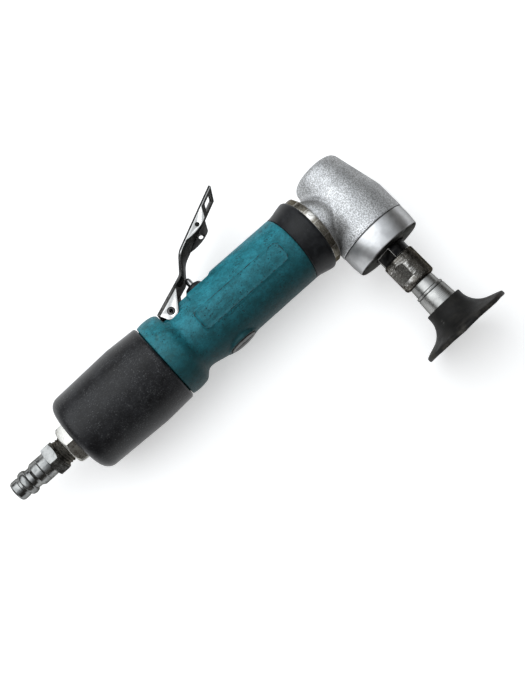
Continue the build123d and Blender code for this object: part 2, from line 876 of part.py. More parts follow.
with BuildPart() as front_plate:
    with BuildSketch(across(front_plate_x)):
        Circle(cylinder_radius)
        Circle(plate_hole_radius, mode=Mode.SUBTRACT)
    extrude(amount=plate_length)
    with BuildSketch(across(stub_x - shaft_bearing_width)):
        Circle(shaft_bearing_outer)
    extrude(amount=shaft_bearing_width, mode=Mode.SUBTRACT)
    with BuildSketch(across(front_plate_x)):
        with Locations((-(bore_radius + cylinder_radius) / 2 + eccentricity / 2, 0)):
            Circle(dowel_radius)
    extrude(amount=plate_length, mode=Mode.SUBTRACT)
save(front_plate, "front_plate")

front_bearing = bearing(
    across(stub_x - shaft_bearing_width),
    shaft_bearing_outer,
    shaft_bearing_bore,
    shaft_bearing_width,
)
save(front_bearing, "front_bearing")

# Motor cylinder: liner with an eccentric bore and exhaust ports on its side
with BuildPart() as motor_cylinder:
    with BuildSketch(across(cylinder_x)):
        Circle(cylinder_radius)
        with Locations((eccentricity, 0)):
            Circle(bore_radius, mode=Mode.SUBTRACT)
        with Locations((-(bore_radius + cylinder_radius) / 2 + eccentricity / 2, 0)):
            Circle(dowel_radius, mode=Mode.SUBTRACT)
    extrude(amount=cylinder_length)
    with BuildSketch(section_plane):
        with Locations((cylinder_x + cylinder_length / 2, 0)):
            with GridLocations(cylinder_length / 4, 1, 3, 1):
                Circle(exhaust_port_radius)
    extrude(amount=cylinder_radius, mode=Mode.SUBTRACT)
save(motor_cylinder, "motor_cylinder")

# Cylinder pin: dowel that keeps the cylinder and both plates in line
with BuildPart() as cylinder_pin:
    with BuildSketch(across(chamber_x)):
        with Locations((-(bore_radius + cylinder_radius) / 2 + eccentricity / 2, 0)):
            Circle(dowel_radius)
    extrude(amount=stub_x - chamber_x)
save(cylinder_pin, "cylinder_pin")

# Rotor: slotted drum on a shaft that ends in a spline for the pinion
drum_x = cylinder_x + free_gap
spline_x = stub_x + free_gap
with BuildPart() as rotor:
    with BuildSketch(across(drum_x)):
        Circle(rotor_radius)
        with PolarLocations(rotor_radius - vane_depth / 2, vane_count):
            Rectangle(vane_depth + 2 * vane_room, vane_thickness, mode=Mode.SUBTRACT)
    extrude(amount=rotor_length)
    with BuildSketch(across(chamber_x + free_gap)):
        Circle(shaft_radius - running)
    extrude(amount=spline_x - chamber_x - free_gap)
    with BuildSketch(across(spline_x)):
        RegularPolygon(spline_radius, 6)
    extrude(amount=spline_length)
save(rotor, "rotor")

# Rotor vanes: one blade in each slot, pushed in flush with the drum
with BuildPart() as rotor_vanes:
    with BuildSketch(across(drum_x)):
        with PolarLocations(rotor_radius - vane_depth / 2 - slip, vane_count):
            Rectangle(vane_depth - 2 * slip, vane_thickness)
    extrude(amount=rotor_length)
save(rotor_vanes, "rotor_vanes")


def involute_flank(pitch_radius, thickness, height):
    """Half width and height over the pitch point of a tooth flank at a given height."""
    base = pitch_radius * cos(radians(pressure_angle))
    radius = max(pitch_radius + height, base)
    pressure = acos(base / radius)
    start = tan(radians(pressure_angle)) - radians(pressure_angle)
    half = thickness / (2 * pitch_radius) + start - (tan(pressure) - pressure)
    radius = pitch_radius + height
    return radius * sin(half), radius * cos(half) - pitch_radius


def bevel_wheel(apex, pitch_radius, teeth, cone, rim, phase):
    """Straight bevel wheel whose pitch cone opens along the plane's normal from its origin."""
    cone_sin, cone_cos = sin(radians(cone)), cos(radians(cone))
    pitch_z = pitch_radius * cone_cos / cone_sin
    virtual_radius = pitch_radius / cone_cos
    thickness = pi * gear_module / 2 - backlash
    root_r = pitch_radius - dedendum * cone_cos
    root_z = pitch_z + dedendum * cone_sin
    base_height = virtual_radius * (cos(radians(pressure_angle)) - 1)
    heights = (-dedendum - root_clearance, base_height, 0, gear_module)
    flank = [involute_flank(virtual_radius, thickness, height) for height in heights]
    with BuildPart() as wheel:
        profile = Plane(origin=apex.origin, x_dir=apex.x_dir, z_dir=-apex.y_dir)
        with BuildSketch(profile):
            Polygon(
                (0, small_end * root_z),
                (small_end * root_r, small_end * root_z),
                (root_r, root_z),
                (root_r, root_z + rim),
                (0, root_z + rim),
                align=None,
            )
        revolve(axis=Axis(apex.origin, apex.z_dir))
        for number in range(teeth):
            turned = turn(apex, 360 * (number + phase) / teeth)
            for share in (1, small_end):
                middle = turned.from_local_coords(Vector(pitch_radius, 0, pitch_z) * share)
                inward = turned.x_dir * -cone_sin + turned.z_dir * -cone_cos
                with BuildSketch(Plane(origin=middle, x_dir=turned.y_dir, z_dir=inward)):
                    points = [Vector(x, y) * share for x, y in flank]
                    mirrored = [Vector(-p.X, p.Y) for p in points]
                    with BuildLine():
                        Line(points[0], points[1])
                        ThreePointArc(points[1], points[2], points[3])
                        Line(points[3], mirrored[3])
                        ThreePointArc(mirrored[3], mirrored[2], mirrored[1])
                        Polyline(mirrored[1], mirrored[0], points[0])
                    make_face()
            loft(ruled=True)
    return wheel


# Bevel pinion: toothed wheel with a journal and a socket for the rotor's spline
pinion_apex = Plane(origin=(0, axis_height, 0), x_dir=(0, -1, 0), z_dir=(-1, 0, 0))
pinion_wheel = bevel_wheel(pinion_apex, pinion_pitch, pinion_teeth, pinion_cone, pinion_rim, 0)
pinion_back = -(gear_pitch + dedendum * sin(radians(pinion_cone)) + pinion_rim)
pinion_bearing_x = ring_x - pinion_bearing_width + pinion_bearing_reach
with BuildPart() as bevel_pinion:
    add(pinion_wheel.part)
    with BuildSketch(across(pinion_back)):
        Circle(pinion_bearing_bore + pinion_shoulder)
    extrude(amount=pinion_bearing_x + pinion_bearing_width + free_gap - pinion_back)
    with BuildSketch(across(pinion_back)):
        Circle(pinion_bearing_bore - running)
    extrude(amount=spline_x + free_gap - pinion_back)
    with BuildSketch(across(spline_x)):
        RegularPolygon(spline_radius, 6)
    extrude(amount=spline_length, mode=Mode.SUBTRACT)
save(bevel_pinion, "bevel_pinion")

pinion_bearing = bearing(
    across(pinion_bearing_x), neck_bore, pinion_bearing_bore, pinion_bearing_width
)
save(pinion_bearing, "pinion_bearing")

# Bearing spacer: sleeve between the front plate and the pinion bearing
bearing_spacer = ring(
    across(stub_x), neck_bore, neck_bore - neck_wall, pinion_bearing_x - stub_x
)
save(bearing_spacer, "bearing_spacer")

# Lock ring: jam ring with shallow wrench flats, run up against the housing
with BuildPart() as lock_ring:
    with BuildSketch(across(housing_x)):
        Circle(lock_ring_radius)
        RegularPolygon(
            lock_ring_radius - lock_ring_flat_depth,
            lock_ring_flat_count,
            major_radius=False,
            rotation=lock_ring_angle,
            mode=Mode.INTERSECT,
        )
        Circle(stub_radius, mode=Mode.SUBTRACT)
    extrude(amount=lock_ring_length)
    chamfer(lock_ring.faces().sort_by(Axis.X)[-1].outer_wire().edges(), lock_ring_edge)
save(lock_ring, "lock_ring")

# Angle head: casting turned about the spindle, with a neck towards the motor
with BuildPart() as angle_head:
    with BuildSketch(section_plane):
        with BuildLine():
            FilletPolyline(
                (0, head_top_rise),
                (head_top_radius, head_top_rise - head_crown),
                (head_radius, -head_belly_drop),
                (head_radius, parting_y),
                (0, parting_y),
                (0, head_top_rise),
                radius=(0, head_top_round, head_belly_round, 0, 0),
            )
        make_face()
    revolve(axis=spindle_axis)
    with BuildSketch(across(stub_x)):
        Circle(neck_outer)
    extrude(amount=-stub_x)
    fillet(angle_head.edges().filter_by(GeomType.BSPLINE), neck_blend)
    # Stub turned down for the lock ring and the housing's thread
    with BuildSketch(across(stub_x)):
        Circle(2 * neck_outer)
        Circle(stub_radius, mode=Mode.SUBTRACT)
    extrude(amount=ring_x - stub_x, mode=Mode.SUBTRACT)
    with BuildSketch(section_plane):
        Polygon(
            (0, upper_bearing_y + upper_bearing_width),
            (upper_bearing_outer, upper_bearing_y + upper_bearing_width),
            (upper_bearing_outer, upper_bearing_y),
            (upper_bearing_outer + head_clearance, upper_bearing_y),
            (cavity_radius, -head_belly_drop),
            (cavity_radius, parting_y),
            (0, parting_y),
            align=None,
        )
    revolve(axis=spindle_axis, mode=Mode.SUBTRACT)
    with BuildSketch(across(stub_x)):
        Circle(neck_bore)
    extrude(amount=-pinion_tip_x - stub_x, mode=Mode.SUBTRACT)
    # Cone cut for the pinion's teeth at the end of the neck's bore
    with BuildSketch(section_plane):
        Polygon(
            (-pinion_tip_x, 0),
            (-pinion_tip_x, pinion_tip + pinion_room),
            (-small_end * pinion_tip_x, small_end * pinion_tip + pinion_room),
            (-small_end * pinion_tip_x, 0),
            align=None,
        )
    revolve(axis=motor_axis, mode=Mode.SUBTRACT)
save(angle_head, "angle_head")

# Bearing cap: turned cup screwed into the casting from below
with BuildPart() as bearing_cap:
    with BuildSketch(section_plane):
        Polygon(
            (cap_seat_radius, lower_bearing_y),
            (spindle_end_radius + head_clearance / 2, lower_bearing_y),
            (spindle_end_radius + head_clearance / 2, cap_y),
            (cap_radius - cap_taper, cap_y),
            (cap_radius, cap_y + cap_length / 2),
            (cap_radius, parting_y),
            (cavity_radius - slip, parting_y),
            (cavity_radius - slip, parting_y + cap_spigot_length),
            (cap_seat_radius, parting_y + cap_spigot_length),
            align=None,
        )
    revolve(axis=spindle_axis)
    fillet(bearing_cap.faces().sort_by(Axis.Y)[0].outer_wire().edges(), cap_round)
save(bearing_cap, "bearing_cap")

# Spindle bearings, and the clip that holds the lower one in the cap
upper_bearing = bearing(
    level(upper_bearing_y), upper_bearing_outer, upper_bearing_bore, upper_bearing_width
)
save(upper_bearing, "upper_bearing")

lower_bearing = bearing(
    level(lower_bearing_y), cap_seat_radius, lower_bearing_bore, lower_bearing_width
)
save(lower_bearing, "lower_bearing")

clip_y = lower_bearing_y + lower_bearing_width
bearing_clip = ring(level(clip_y), cap_seat_radius, cap_seat_radius - clip_width, clip_thickness)
save(bearing_clip, "bearing_clip")

# Spindle: stepped shaft that ends in wrench flats, a thread and a collet socket
thread_end_y = nut_top_y - spindle_thread_length
shoulder_y = lower_bearing_y - free_gap
with BuildPart() as spindle:
    with BuildSketch(section_plane):
        Polygon(
            (0, thread_end_y),
            (spindle_thread_radius, thread_end_y),
            (spindle_thread_radius, nut_top_y),
            (spindle_end_radius, nut_top_y),
            (spindle_end_radius, shoulder_y),
            (lower_bearing_bore - running, shoulder_y),
            (lower_bearing_bore - running, clip_y),
            (spindle_shaft_radius, clip_y),
            (spindle_shaft_radius, upper_bearing_y - free_gap),
            (upper_bearing_bore - running, upper_bearing_y - free_gap),
            (upper_bearing_bore - running, upper_bearing_y + upper_bearing_width - free_gap),
            (0, upper_bearing_y + upper_bearing_width - free_gap),
            align=None,
        )
    revolve(axis=spindle_axis)
    flats_plane = turn(level(nut_top_y), flats_angle)
    for side in (-1, 1):
        with BuildSketch(flats_plane):
            with Locations((0, side * spindle_end_radius)):
                Rectangle(2 * spindle_end_radius, 2 * spindle_end_radius - spindle_flats)
        extrude(amount=flats_length, mode=Mode.SUBTRACT)
    with BuildSketch(level(thread_end_y)):
        Circle(collet_radius)
    extrude(amount=collet_length - collet_nose, mode=Mode.SUBTRACT)
    with BuildSketch(level(nut_end_y)):
        Circle(shank_radius + slip)
    extrude(amount=shank_length + shank_room, mode=Mode.SUBTRACT)
    with BuildSketch(level(clip_y + free_gap)):
        with Locations((spindle_shaft_radius, 0)):
            Rectangle(key_width, key_width)
    extrude(amount=key_length, mode=Mode.SUBTRACT)
save(spindle, "spindle")

# Bevel gear: toothed wheel with a hub, keyed to the spindle
gear_apex = Plane(origin=(0, axis_height, 0), x_dir=(-1, 0, 0), z_dir=(0, -1, 0))
gear_wheel = bevel_wheel(gear_apex, gear_pitch, gear_teeth, gear_cone, gear_rim, 0.5)
gear_back = -(pinion_pitch + dedendum * sin(radians(gear_cone)) + gear_rim)
with BuildPart() as bevel_gear:
    add(gear_wheel.part)
    with BuildSketch(level(clip_y + free_gap)):
        Circle(lower_bearing_bore + free_gap)
    extrude(amount=gear_back - clip_y - free_gap)
    with BuildSketch(level(clip_y + free_gap)):
        Circle(spindle_shaft_radius)
        with Locations((spindle_shaft_radius, 0)):
            Rectangle(key_width, key_width)
    extrude(amount=key_length, mode=Mode.SUBTRACT)
    with BuildSketch(level(clip_y + free_gap)):
        Circle(spindle_shaft_radius)
    extrude(amount=-clip_y, mode=Mode.SUBTRACT)
save(bevel_gear, "bevel_gear")

# Gear key: square key half in the spindle and half in the gear
with BuildPart() as gear_key:
    with BuildSketch(level(clip_y + free_gap)):
        with Locations((spindle_shaft_radius, 0)):
            Rectangle(key_width, key_width)
    extrude(amount=key_length)
save(gear_key, "gear_key")

# Collet: slit sleeve with a cone nose that the nut squeezes
collet_end_y = thread_end_y - collet_nose
with BuildPart() as collet:
    with BuildSketch(section_plane):
        Polygon(
            (shank_radius, collet_end_y),
            (collet_radius, collet_end_y),
            (spindle_thread_radius - slip, thread_end_y),
            (collet_radius, thread_end_y),
            (collet_radius, collet_end_y + collet_length),
            (shank_radius, collet_end_y + collet_length),
            align=None,
        )
    revolve(axis=spindle_axis)
    with BuildSketch(level(collet_end_y)):
        Rectangle(4 * collet_radius, collet_slit)
        Rectangle(collet_slit, 4 * collet_radius)
    extrude(amount=collet_slit_length, mode=Mode.SUBTRACT)
save(collet, "collet")

# Collet nut: turned cap with rounded ends and two milled wrench flats
with BuildPart() as collet_nut:
    with BuildSketch(section_plane):
        with BuildLine():
            FilletPolyline(
                (spindle_thread_radius, nut_top_y),
                (nut_radius, nut_top_y),
                (nut_radius, nut_end_y),
                (shank_radius + slip, nut_end_y),
                radius=(nut_round / 2, nut_round),
            )
            Polyline(
                (shank_radius + slip, nut_end_y),
                (shank_radius + slip, collet_end_y),
                (collet_radius, collet_end_y),
                (spindle_thread_radius, thread_end_y),
                (spindle_thread_radius, nut_top_y),
            )
        make_face()
    revolve(axis=spindle_axis)
    nut_plane = turn(level((nut_top_y + nut_end_y - nut_flat_length) / 2), flats_angle)
    for side in (-1, 1):
        with BuildSketch(nut_plane):
            with Locations((0, side * nut_radius)):
                Rectangle(2 * nut_radius, 2 * nut_radius - nut_flats)
        extrude(amount=nut_flat_length, mode=Mode.SUBTRACT)
save(collet_nut, "collet_nut")

# Pad mandrel: turned steel shank, neck and hub with a stud into the pad
socket_top_y = -axis_height + socket_depth + socket_floor
groove_y = hub_top_y - hub_groove_setback
with BuildPart() as pad_mandrel:
    with BuildSketch(section_plane):
        Polygon(
            (0, nut_end_y + shank_length),
            (shank_radius, nut_end_y + shank_length),
            (shank_radius, nut_end_y),
            (neck_radius, nut_end_y),
            (neck_radius + neck_flare, hub_top_y),
            (hub_radius - hub_edge, hub_top_y),
            (hub_radius, hub_top_y - hub_edge),
            (hub_radius, groove_y + hub_groove_half),
            (hub_radius - hub_groove_depth, groove_y),
            (hub_radius, groove_y - hub_groove_half),
            (hub_radius + hub_flare, pad_top_y),
            (stud_radius, pad_top_y),
            (stud_radius, socket_top_y),
            (0, socket_top_y),
            align=None,
        )
    revolve(axis=spindle_axis)
save(pad_mandrel, "pad_mandrel")

# Rubber pad: flared boot whose arc runs out straight to a soft rim
rim = Vector(pad_radius, pad_rim_height - axis_height)
flare_start = Vector(pad_top_radius, pad_top_y - pad_collar)
flare_centre = flare_start + Vector(pad_flare, 0)
reach = rim - flare_centre
flare_turn = atan2(reach.Y, reach.X) + acos(-pad_flare / reach.length)
flare_end = flare_centre - Vector(cos(flare_turn), sin(flare_turn)) * pad_flare
with BuildPart() as rubber_pad:
    with BuildSketch(section_plane):
        with BuildLine():
            Polyline(
                flare_start,
                (pad_top_radius, pad_top_y),
                (0, pad_top_y),
                (0, -axis_height),
                (pad_radius, -axis_height),
                rim,
                flare_end,
            )
            RadiusArc(flare_end, flare_start, pad_flare)
        make_face()
    revolve(axis=spindle_axis)
    fillet(rubber_pad.faces().sort_by(Axis.Y)[-1].edges(), pad_top_round)
    rim_edges = rubber_pad.edges().filter_by(GeomType.CIRCLE).sort_by(SortBy.RADIUS)[-2:]
    fillet(rim_edges, pad_rim_round)
    with BuildSketch(level(-axis_height)):
        Circle(stud_radius)
    extrude(amount=pad_height, mode=Mode.SUBTRACT)
    with BuildSketch(level(-axis_height)):
        Circle(socket_outer)
    extrude(amount=socket_depth + socket_floor, mode=Mode.SUBTRACT)
save(rubber_pad, "rubber_pad")

# Pad socket: insert moulded into the pad, with the threaded hole for a disc
with BuildPart() as pad_socket:
    with BuildSketch(level(-axis_height)):
        Circle(socket_outer)
    extrude(amount=socket_depth + socket_floor)
    with BuildSketch(level(-axis_height)):
        Circle(socket_radius)
    extrude(amount=socket_depth, mode=Mode.SUBTRACT)
save(pad_socket, "pad_socket")
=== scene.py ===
import json
from contextlib import contextmanager
from math import atan2, cos, hypot, pi, radians, sin, tan

import bpy
from mathutils import Matrix, Vector

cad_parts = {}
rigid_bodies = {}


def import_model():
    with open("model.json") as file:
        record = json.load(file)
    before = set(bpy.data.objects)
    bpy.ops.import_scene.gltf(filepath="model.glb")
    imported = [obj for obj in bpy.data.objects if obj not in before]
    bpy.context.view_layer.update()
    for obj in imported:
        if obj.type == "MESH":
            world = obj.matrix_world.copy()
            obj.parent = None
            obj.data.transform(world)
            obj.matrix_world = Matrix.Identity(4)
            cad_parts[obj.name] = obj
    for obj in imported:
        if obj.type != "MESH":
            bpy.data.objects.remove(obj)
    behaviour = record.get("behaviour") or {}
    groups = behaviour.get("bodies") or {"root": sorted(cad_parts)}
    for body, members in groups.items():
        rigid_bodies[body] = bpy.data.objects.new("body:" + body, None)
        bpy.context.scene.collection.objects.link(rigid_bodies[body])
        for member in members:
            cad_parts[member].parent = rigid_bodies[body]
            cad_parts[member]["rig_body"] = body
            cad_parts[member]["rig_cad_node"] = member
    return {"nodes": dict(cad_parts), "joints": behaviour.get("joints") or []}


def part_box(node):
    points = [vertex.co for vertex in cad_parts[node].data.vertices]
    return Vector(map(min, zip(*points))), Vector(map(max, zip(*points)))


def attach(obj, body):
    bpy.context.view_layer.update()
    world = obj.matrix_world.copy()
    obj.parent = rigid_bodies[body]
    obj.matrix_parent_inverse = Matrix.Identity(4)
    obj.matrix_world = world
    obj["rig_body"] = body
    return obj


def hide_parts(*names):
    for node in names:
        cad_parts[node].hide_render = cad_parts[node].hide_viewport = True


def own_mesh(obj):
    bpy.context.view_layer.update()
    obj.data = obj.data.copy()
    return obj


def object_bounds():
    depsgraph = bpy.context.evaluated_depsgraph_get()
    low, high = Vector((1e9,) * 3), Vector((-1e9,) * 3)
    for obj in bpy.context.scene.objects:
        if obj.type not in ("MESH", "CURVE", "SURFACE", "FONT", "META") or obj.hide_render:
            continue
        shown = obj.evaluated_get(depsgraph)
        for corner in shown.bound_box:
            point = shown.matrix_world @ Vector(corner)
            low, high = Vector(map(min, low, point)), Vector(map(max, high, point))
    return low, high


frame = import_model()
cad_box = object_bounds()

# Motor ironwork: cylinder liner, its two end plates and the spacer in front of them.
# Turned from cast iron, then honed where the vanes run.
# They sit inside the grip, so only their finish is made here.
mm = 0.001


def new_finish(name, metallic, roughness, **even):
    """A material whose even values sit on its shader's own sockets."""
    finish = bpy.data.materials.new(name)
    finish.use_nodes = True
    shader = finish.node_tree.nodes["Principled BSDF"]
    even.update(Metallic=metallic, Roughness=roughness)
    for socket, value in even.items():
        shader.inputs[socket.replace("_", " ")].default_value = value
    return finish


def node(tree, kind, inputs, out=0, **settings):
    """One output of a new node in a finish's tree; each input is a value or another node's output."""
    made = tree.nodes.new("ShaderNode" + kind)
    for key, value in settings.items():
        setattr(made, key, value)
    for key, value in inputs.items():
        if isinstance(value, bpy.types.NodeSocket):
            tree.links.new(value, made.inputs[key])
        else:
            made.inputs[key].default_value = value
    return made.outputs[out]


def placed(finish, stretch=(1, 1, 1), turn=0.0):
    """Object coordinates, stretched, or turned about Z, for a pattern."""
    start = node(finish.node_tree, "TexCoord", {}, "Object")
    return node(finish.node_tree, "Mapping", {"Vector": start, "Scale": stretch, "Rotation": (0, 0, turn)})


def noise(finish, size, detail=4.0, rough=0.55, where=None, twist=0.0):
    """Cloudy pattern whose blotches are about as large as size, in metres."""
    inputs = {"Vector": where or placed(finish), "Scale": 1 / size, "Detail": detail}
    inputs.update(Roughness=rough, Distortion=twist)
    return node(finish.node_tree, "TexNoise", inputs)


def graded(value, low, high, start=0.0, end=1.0):
    """A pattern's value between low and high, drawn out smoothly from start to end."""
    inputs = {"Value": value, 1: low, 2: high, 3: start, 4: end}
    return node(value.id_data, "MapRange", inputs, interpolation_type="SMOOTHSTEP")


def merged(first, *others, by="MULTIPLY"):
    """Values multiplied together, or put together in another way."""
    for other in others:
        first = node(first.id_data, "Math", {0: first, 1: other}, operation=by)
    return first


def mixed(share, under, over):
    """One colour laid over another by a share; a colour is red, green and blue, or a node's output."""
    under, over = (c if isinstance(c, bpy.types.NodeSocket) else (*c, 1) for c in (under, over))
    return node(share.id_data, "Mix", {"Factor": share, 6: under, 7: over}, 2, data_type="RGBA")


def bumped(height, depth, under=None):
    """Surface relief of a depth in metres, over any relief under it."""
    inputs = {"Height": height, "Distance": depth, "Strength": 1.0}
    if under:
        inputs["Normal"] = under
    return node(height.id_data, "Bump", inputs)


def lay(finish, colour, *coats, sheen=None, relief=None):
    """Lay coats over a colour in turn, and link them, a sheen and a relief to the shader.

    A coat is a pattern, its share if it isn't whole, and a colour.
    A sheen is a pattern with its least and greatest roughness.
    """
    for *shares, over in coats:
        colour = mixed(merged(*shares), colour, over)
    roughness = sheen and graded(sheen[0], 0.3, 0.7, *sheen[1:])
    shader = finish.node_tree.nodes["Principled BSDF"]
    for socket, output in {"Base Color": colour, "Roughness": roughness, "Normal": relief}.items():
        if output:
            finish.node_tree.links.new(output, shader.inputs[socket])


def inner_metal(name, dull, bright, grain, roughness, metallic=1.0):
    """A plain machined metal: cloudy colour, uneven sheen and fine tool marks."""
    finish = new_finish(name, metallic, roughness)
    clouds = graded(noise(finish, 6 * mm), 0.35, 0.7)
    marks = noise(finish, grain, detail=2.0)
    sheen = (marks, roughness - 0.08, roughness + 0.12)
    lay(finish, dull, (clouds, bright), sheen=sheen, relief=bumped(marks, 0.01 * mm))
    return finish


def dress(finish, *nodes):
    """Give CAD nodes that stay as they are their finish."""
    for name in nodes:
        materials = frame["nodes"][name].data.materials
        materials.clear()
        materials.append(finish)


motor_iron = inner_metal("motor_iron", (0.13, 0.13, 0.13), (0.24, 0.24, 0.24), 0.5 * mm, 0.42)
dress(motor_iron, "motor_cylinder", "rear_plate", "front_plate", "bearing_spacer")

# Rotor and bevel gears: slotted drum on its splined shaft, pinion and gear.
# Hardened steel, ground on the shafts and cut in the teeth.
# The gear is keyed to the spindle and the pinion rides on the rotor's spline.
gear_steel = inner_metal("gear_steel", (0.19, 0.19, 0.2), (0.34, 0.34, 0.35), 0.3 * mm, 0.34)
dress(gear_steel, "rotor", "bevel_pinion", "bevel_gear")

# Rotor vanes: four blades of brown phenolic laminate in the rotor's slots.
# Sawn from sheet, so the layers show as fine bands along the blade.
vane_laminate = new_finish("vane_laminate", 0.0, 0.6)
layers = noise(vane_laminate, 0.4 * mm, where=placed(vane_laminate, (0.05, 1, 1)))
bands = (graded(layers, 0.4, 0.6), (0.2, 0.12, 0.05))
lay(vane_laminate, (0.1, 0.055, 0.02), bands, relief=bumped(layers, 0.02 * mm))
dress(vane_laminate, "rotor_vanes")

# Ball bearings: five shielded bearings on the rotor, the pinion and the spindle.
# Ground chrome steel races with pressed shields.
bearing_steel = inner_metal("bearing_steel", (0.45, 0.45, 0.46), (0.62, 0.62, 0.63), 0.2 * mm, 0.22)
dress(bearing_steel, "rear_bearing", "front_bearing", "pinion_bearing", "upper_bearing", "lower_bearing")

# Small hidden steel: bearing clip, cylinder pin and gear key.
# Drawn and stamped spring steel, left dark from its heat treatment.
spring_steel = inner_metal("spring_steel", (0.05, 0.05, 0.052), (0.14, 0.135, 0.13), 0.3 * mm, 0.38)
dress(spring_steel, "bearing_clip", "cylinder_pin", "gear_key")

# Seals: the poppet's washer and the ring in the regulator's groove.
# Black nitrile rubber, moulded, with a thin film of oil.
seal_rubber = inner_metal("seal_rubber", (0.012, 0.012, 0.012), (0.03, 0.03, 0.03), 0.4 * mm, 0.5, 0.0)
dress(seal_rubber, "valve_seal", "regulator_seal")

# Valve seat: ring that the poppet's washer closes on while the lever is let go.
# Turned from brass and pressed on the ledge of the valve bore.
turned_brass = inner_metal("turned_brass", (0.38, 0.25, 0.08), (0.62, 0.45, 0.18), 0.25 * mm, 0.3)
dress(turned_brass, "valve_seat")

# Silencer felt: sleeve of grey wool felt round the inlet tube, behind the muffler's vents.
# Matted fibres, darkened by motor oil, with an uneven, fuzzy skin.
weld = 0.001 * mm


def solo(piece):
    """Make a piece the only selected and active one."""
    bpy.ops.object.select_all(action="DESELECT")
    piece.select_set(True)
    bpy.context.view_layer.objects.active = piece


@contextmanager
def bench(piece):
    """Edit mode on one piece, with all of it selected."""
    solo(piece)
    bpy.ops.object.mode_set(mode="EDIT")
    bpy.ops.mesh.select_all(action="SELECT")
    yield
    bpy.ops.object.mode_set(mode="OBJECT")


def copy_of(name, piece_name):
    """A worked copy of a CAD node, its loose triangles merged into one skin."""
    piece = frame["nodes"][name].copy()
    piece.data = piece.data.copy()
    piece.name = piece.data.name = piece_name
    piece.parent = None
    piece.data.materials.clear()
    del piece["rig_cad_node"], piece["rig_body"]
    bpy.context.scene.collection.objects.link(piece)
    with bench(piece):
        bpy.ops.mesh.remove_doubles(threshold=weld)
    return piece


def worked(piece, kind, **settings):
    """Add a modifier to a piece and apply it."""
    solo(piece)
    modifier = piece.modifiers.new(kind.lower(), kind)
    for key, value in settings.items():
        setattr(modifier, key, value)
    bpy.ops.object.modifier_apply(modifier=modifier.name)


def roughened(piece, size, depth, level=0.5, group="", way="NORMAL"):
    """Raise and sink a piece's skin by a cloudy pattern of a given size."""
    clouds = bpy.data.textures.new(piece.name, "CLOUDS")
    clouds.noise_scale = size
    worked(
        piece, "DISPLACE",
        texture=clouds, texture_coords="LOCAL", strength=depth, mid_level=level, vertex_group=group, direction=way,
    )


def smooth(piece, angle=32.0):
    """Shade a piece smooth, apart from its sharp corners."""
    solo(piece)
    bpy.ops.object.shade_smooth_by_angle(angle=radians(angle))


def soft_skin(piece, voxel, passes, size, depth, level=0.5):
    """Melt a piece into one even skin, then smooth and roughen it."""
    worked(piece, "REMESH", mode="VOXEL", voxel_size=voxel)
    worked(piece, "SMOOTH", factor=0.5, iterations=passes)
    roughened(piece, size, depth, level)
    smooth(piece, 180)


def fit(piece, finish, slot, body, *nodes):
    """Put a finished piece on its body, in place of any CAD nodes that it stands for."""
    if not piece.data.materials:
        piece.data.materials.append(finish)
    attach(piece, body)
    if nodes:
        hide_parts(*nodes)


sleeve = copy_of("silencer_felt", "felt_sleeve")
soft_skin(sleeve, voxel=0.8 * mm, passes=3, size=1.6 * mm, depth=0.5 * mm, level=0.8)
felt = new_finish("silencer_felt", 0.0, 0.95, Sheen_Weight=0.4)
fibres = noise(felt, 0.35 * mm, detail=6.0, rough=0.8, twist=2.0)
oil = graded(noise(felt, 9 * mm), 0.35, 0.7)
lay(felt, (0.3, 0.28, 0.25), (oil, (0.14, 0.12, 0.1)), relief=bumped(fibres, 0.25 * mm))
fit(sleeve, felt, "felt", "housing", "silencer_felt")

# Grip housing: the teal body that the hand holds, moulded in glass-filled composite.
# Motor and valve go in from its bores, which the other pieces close.
# Edges are softly moulded and the sides rubbed and specked; the underside is darkened with painted shade.


def joint_place(name):
    """Where a joint of the part stands, in metres."""
    return next(joint for joint in frame["joints"] if joint["name"] == name)["pos_m"]


def added(name, primitive, **settings):
    """A new primitive, the only one selected, with its place in its mesh."""
    bpy.ops.object.select_all(action="DESELECT")
    primitive(**settings)
    piece = bpy.context.object
    piece.name = piece.data.name = name
    bpy.ops.object.transform_apply()
    return piece


def plug(line, radius, low, high, sides=64, name="plug"):
    """A plain cylinder between two stations of a line, which is a centre and an axis."""
    centre, axis = line
    return added(
        name, bpy.ops.mesh.primitive_cylinder_add,
        vertices=sides, radius=radius, depth=high - low,
        location=centre + axis * (low + high) / 2, rotation=axis.to_track_quat("Z", "Y").to_euler(),
    )


def join(pieces):
    """Make several objects one."""
    bpy.ops.object.select_all(action="DESELECT")
    for piece in pieces:
        piece.select_set(True)
    bpy.context.view_layer.objects.active = pieces[0]
    bpy.ops.object.join()
    return pieces[0]


axis_y = joint_place("rotor_spin")[1]
valve_x = joint_place("regulator_turn")[0]
along_motor = Vector((1, 0, 0))
up_spindle = Vector((0, 1, 0))
motor_centre = Vector((0, axis_y, 0))
motor_line = (motor_centre, along_motor)
valve_line = (Vector((valve_x, 0, 0)), up_spindle)
grip_low, grip_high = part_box("motor_housing")
chamber_radius = 14.66 * mm
tube_radius = 12.0 * mm
valve_bore = 4.55 * mm
plug_recess = 0.6 * mm
spigot_length = 7.4 * mm
spigot_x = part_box("muffler_cap")[1].x - spigot_length
guide_head = 3.9 * mm
valve_flat_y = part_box("stem_bushing")[1].y - guide_head
grip = join([
    copy_of("motor_housing", "grip_housing"),
    plug(motor_line, chamber_radius, spigot_x, grip_high.x - plug_recess),
    plug(motor_line, tube_radius, grip_low.x + plug_recess, spigot_x + plug_recess),
    plug(valve_line, valve_bore, axis_y - chamber_radius, valve_flat_y - plug_recess),
])
soft_skin(grip, voxel=0.5 * mm, passes=4, size=5 * mm, depth=0.12 * mm)


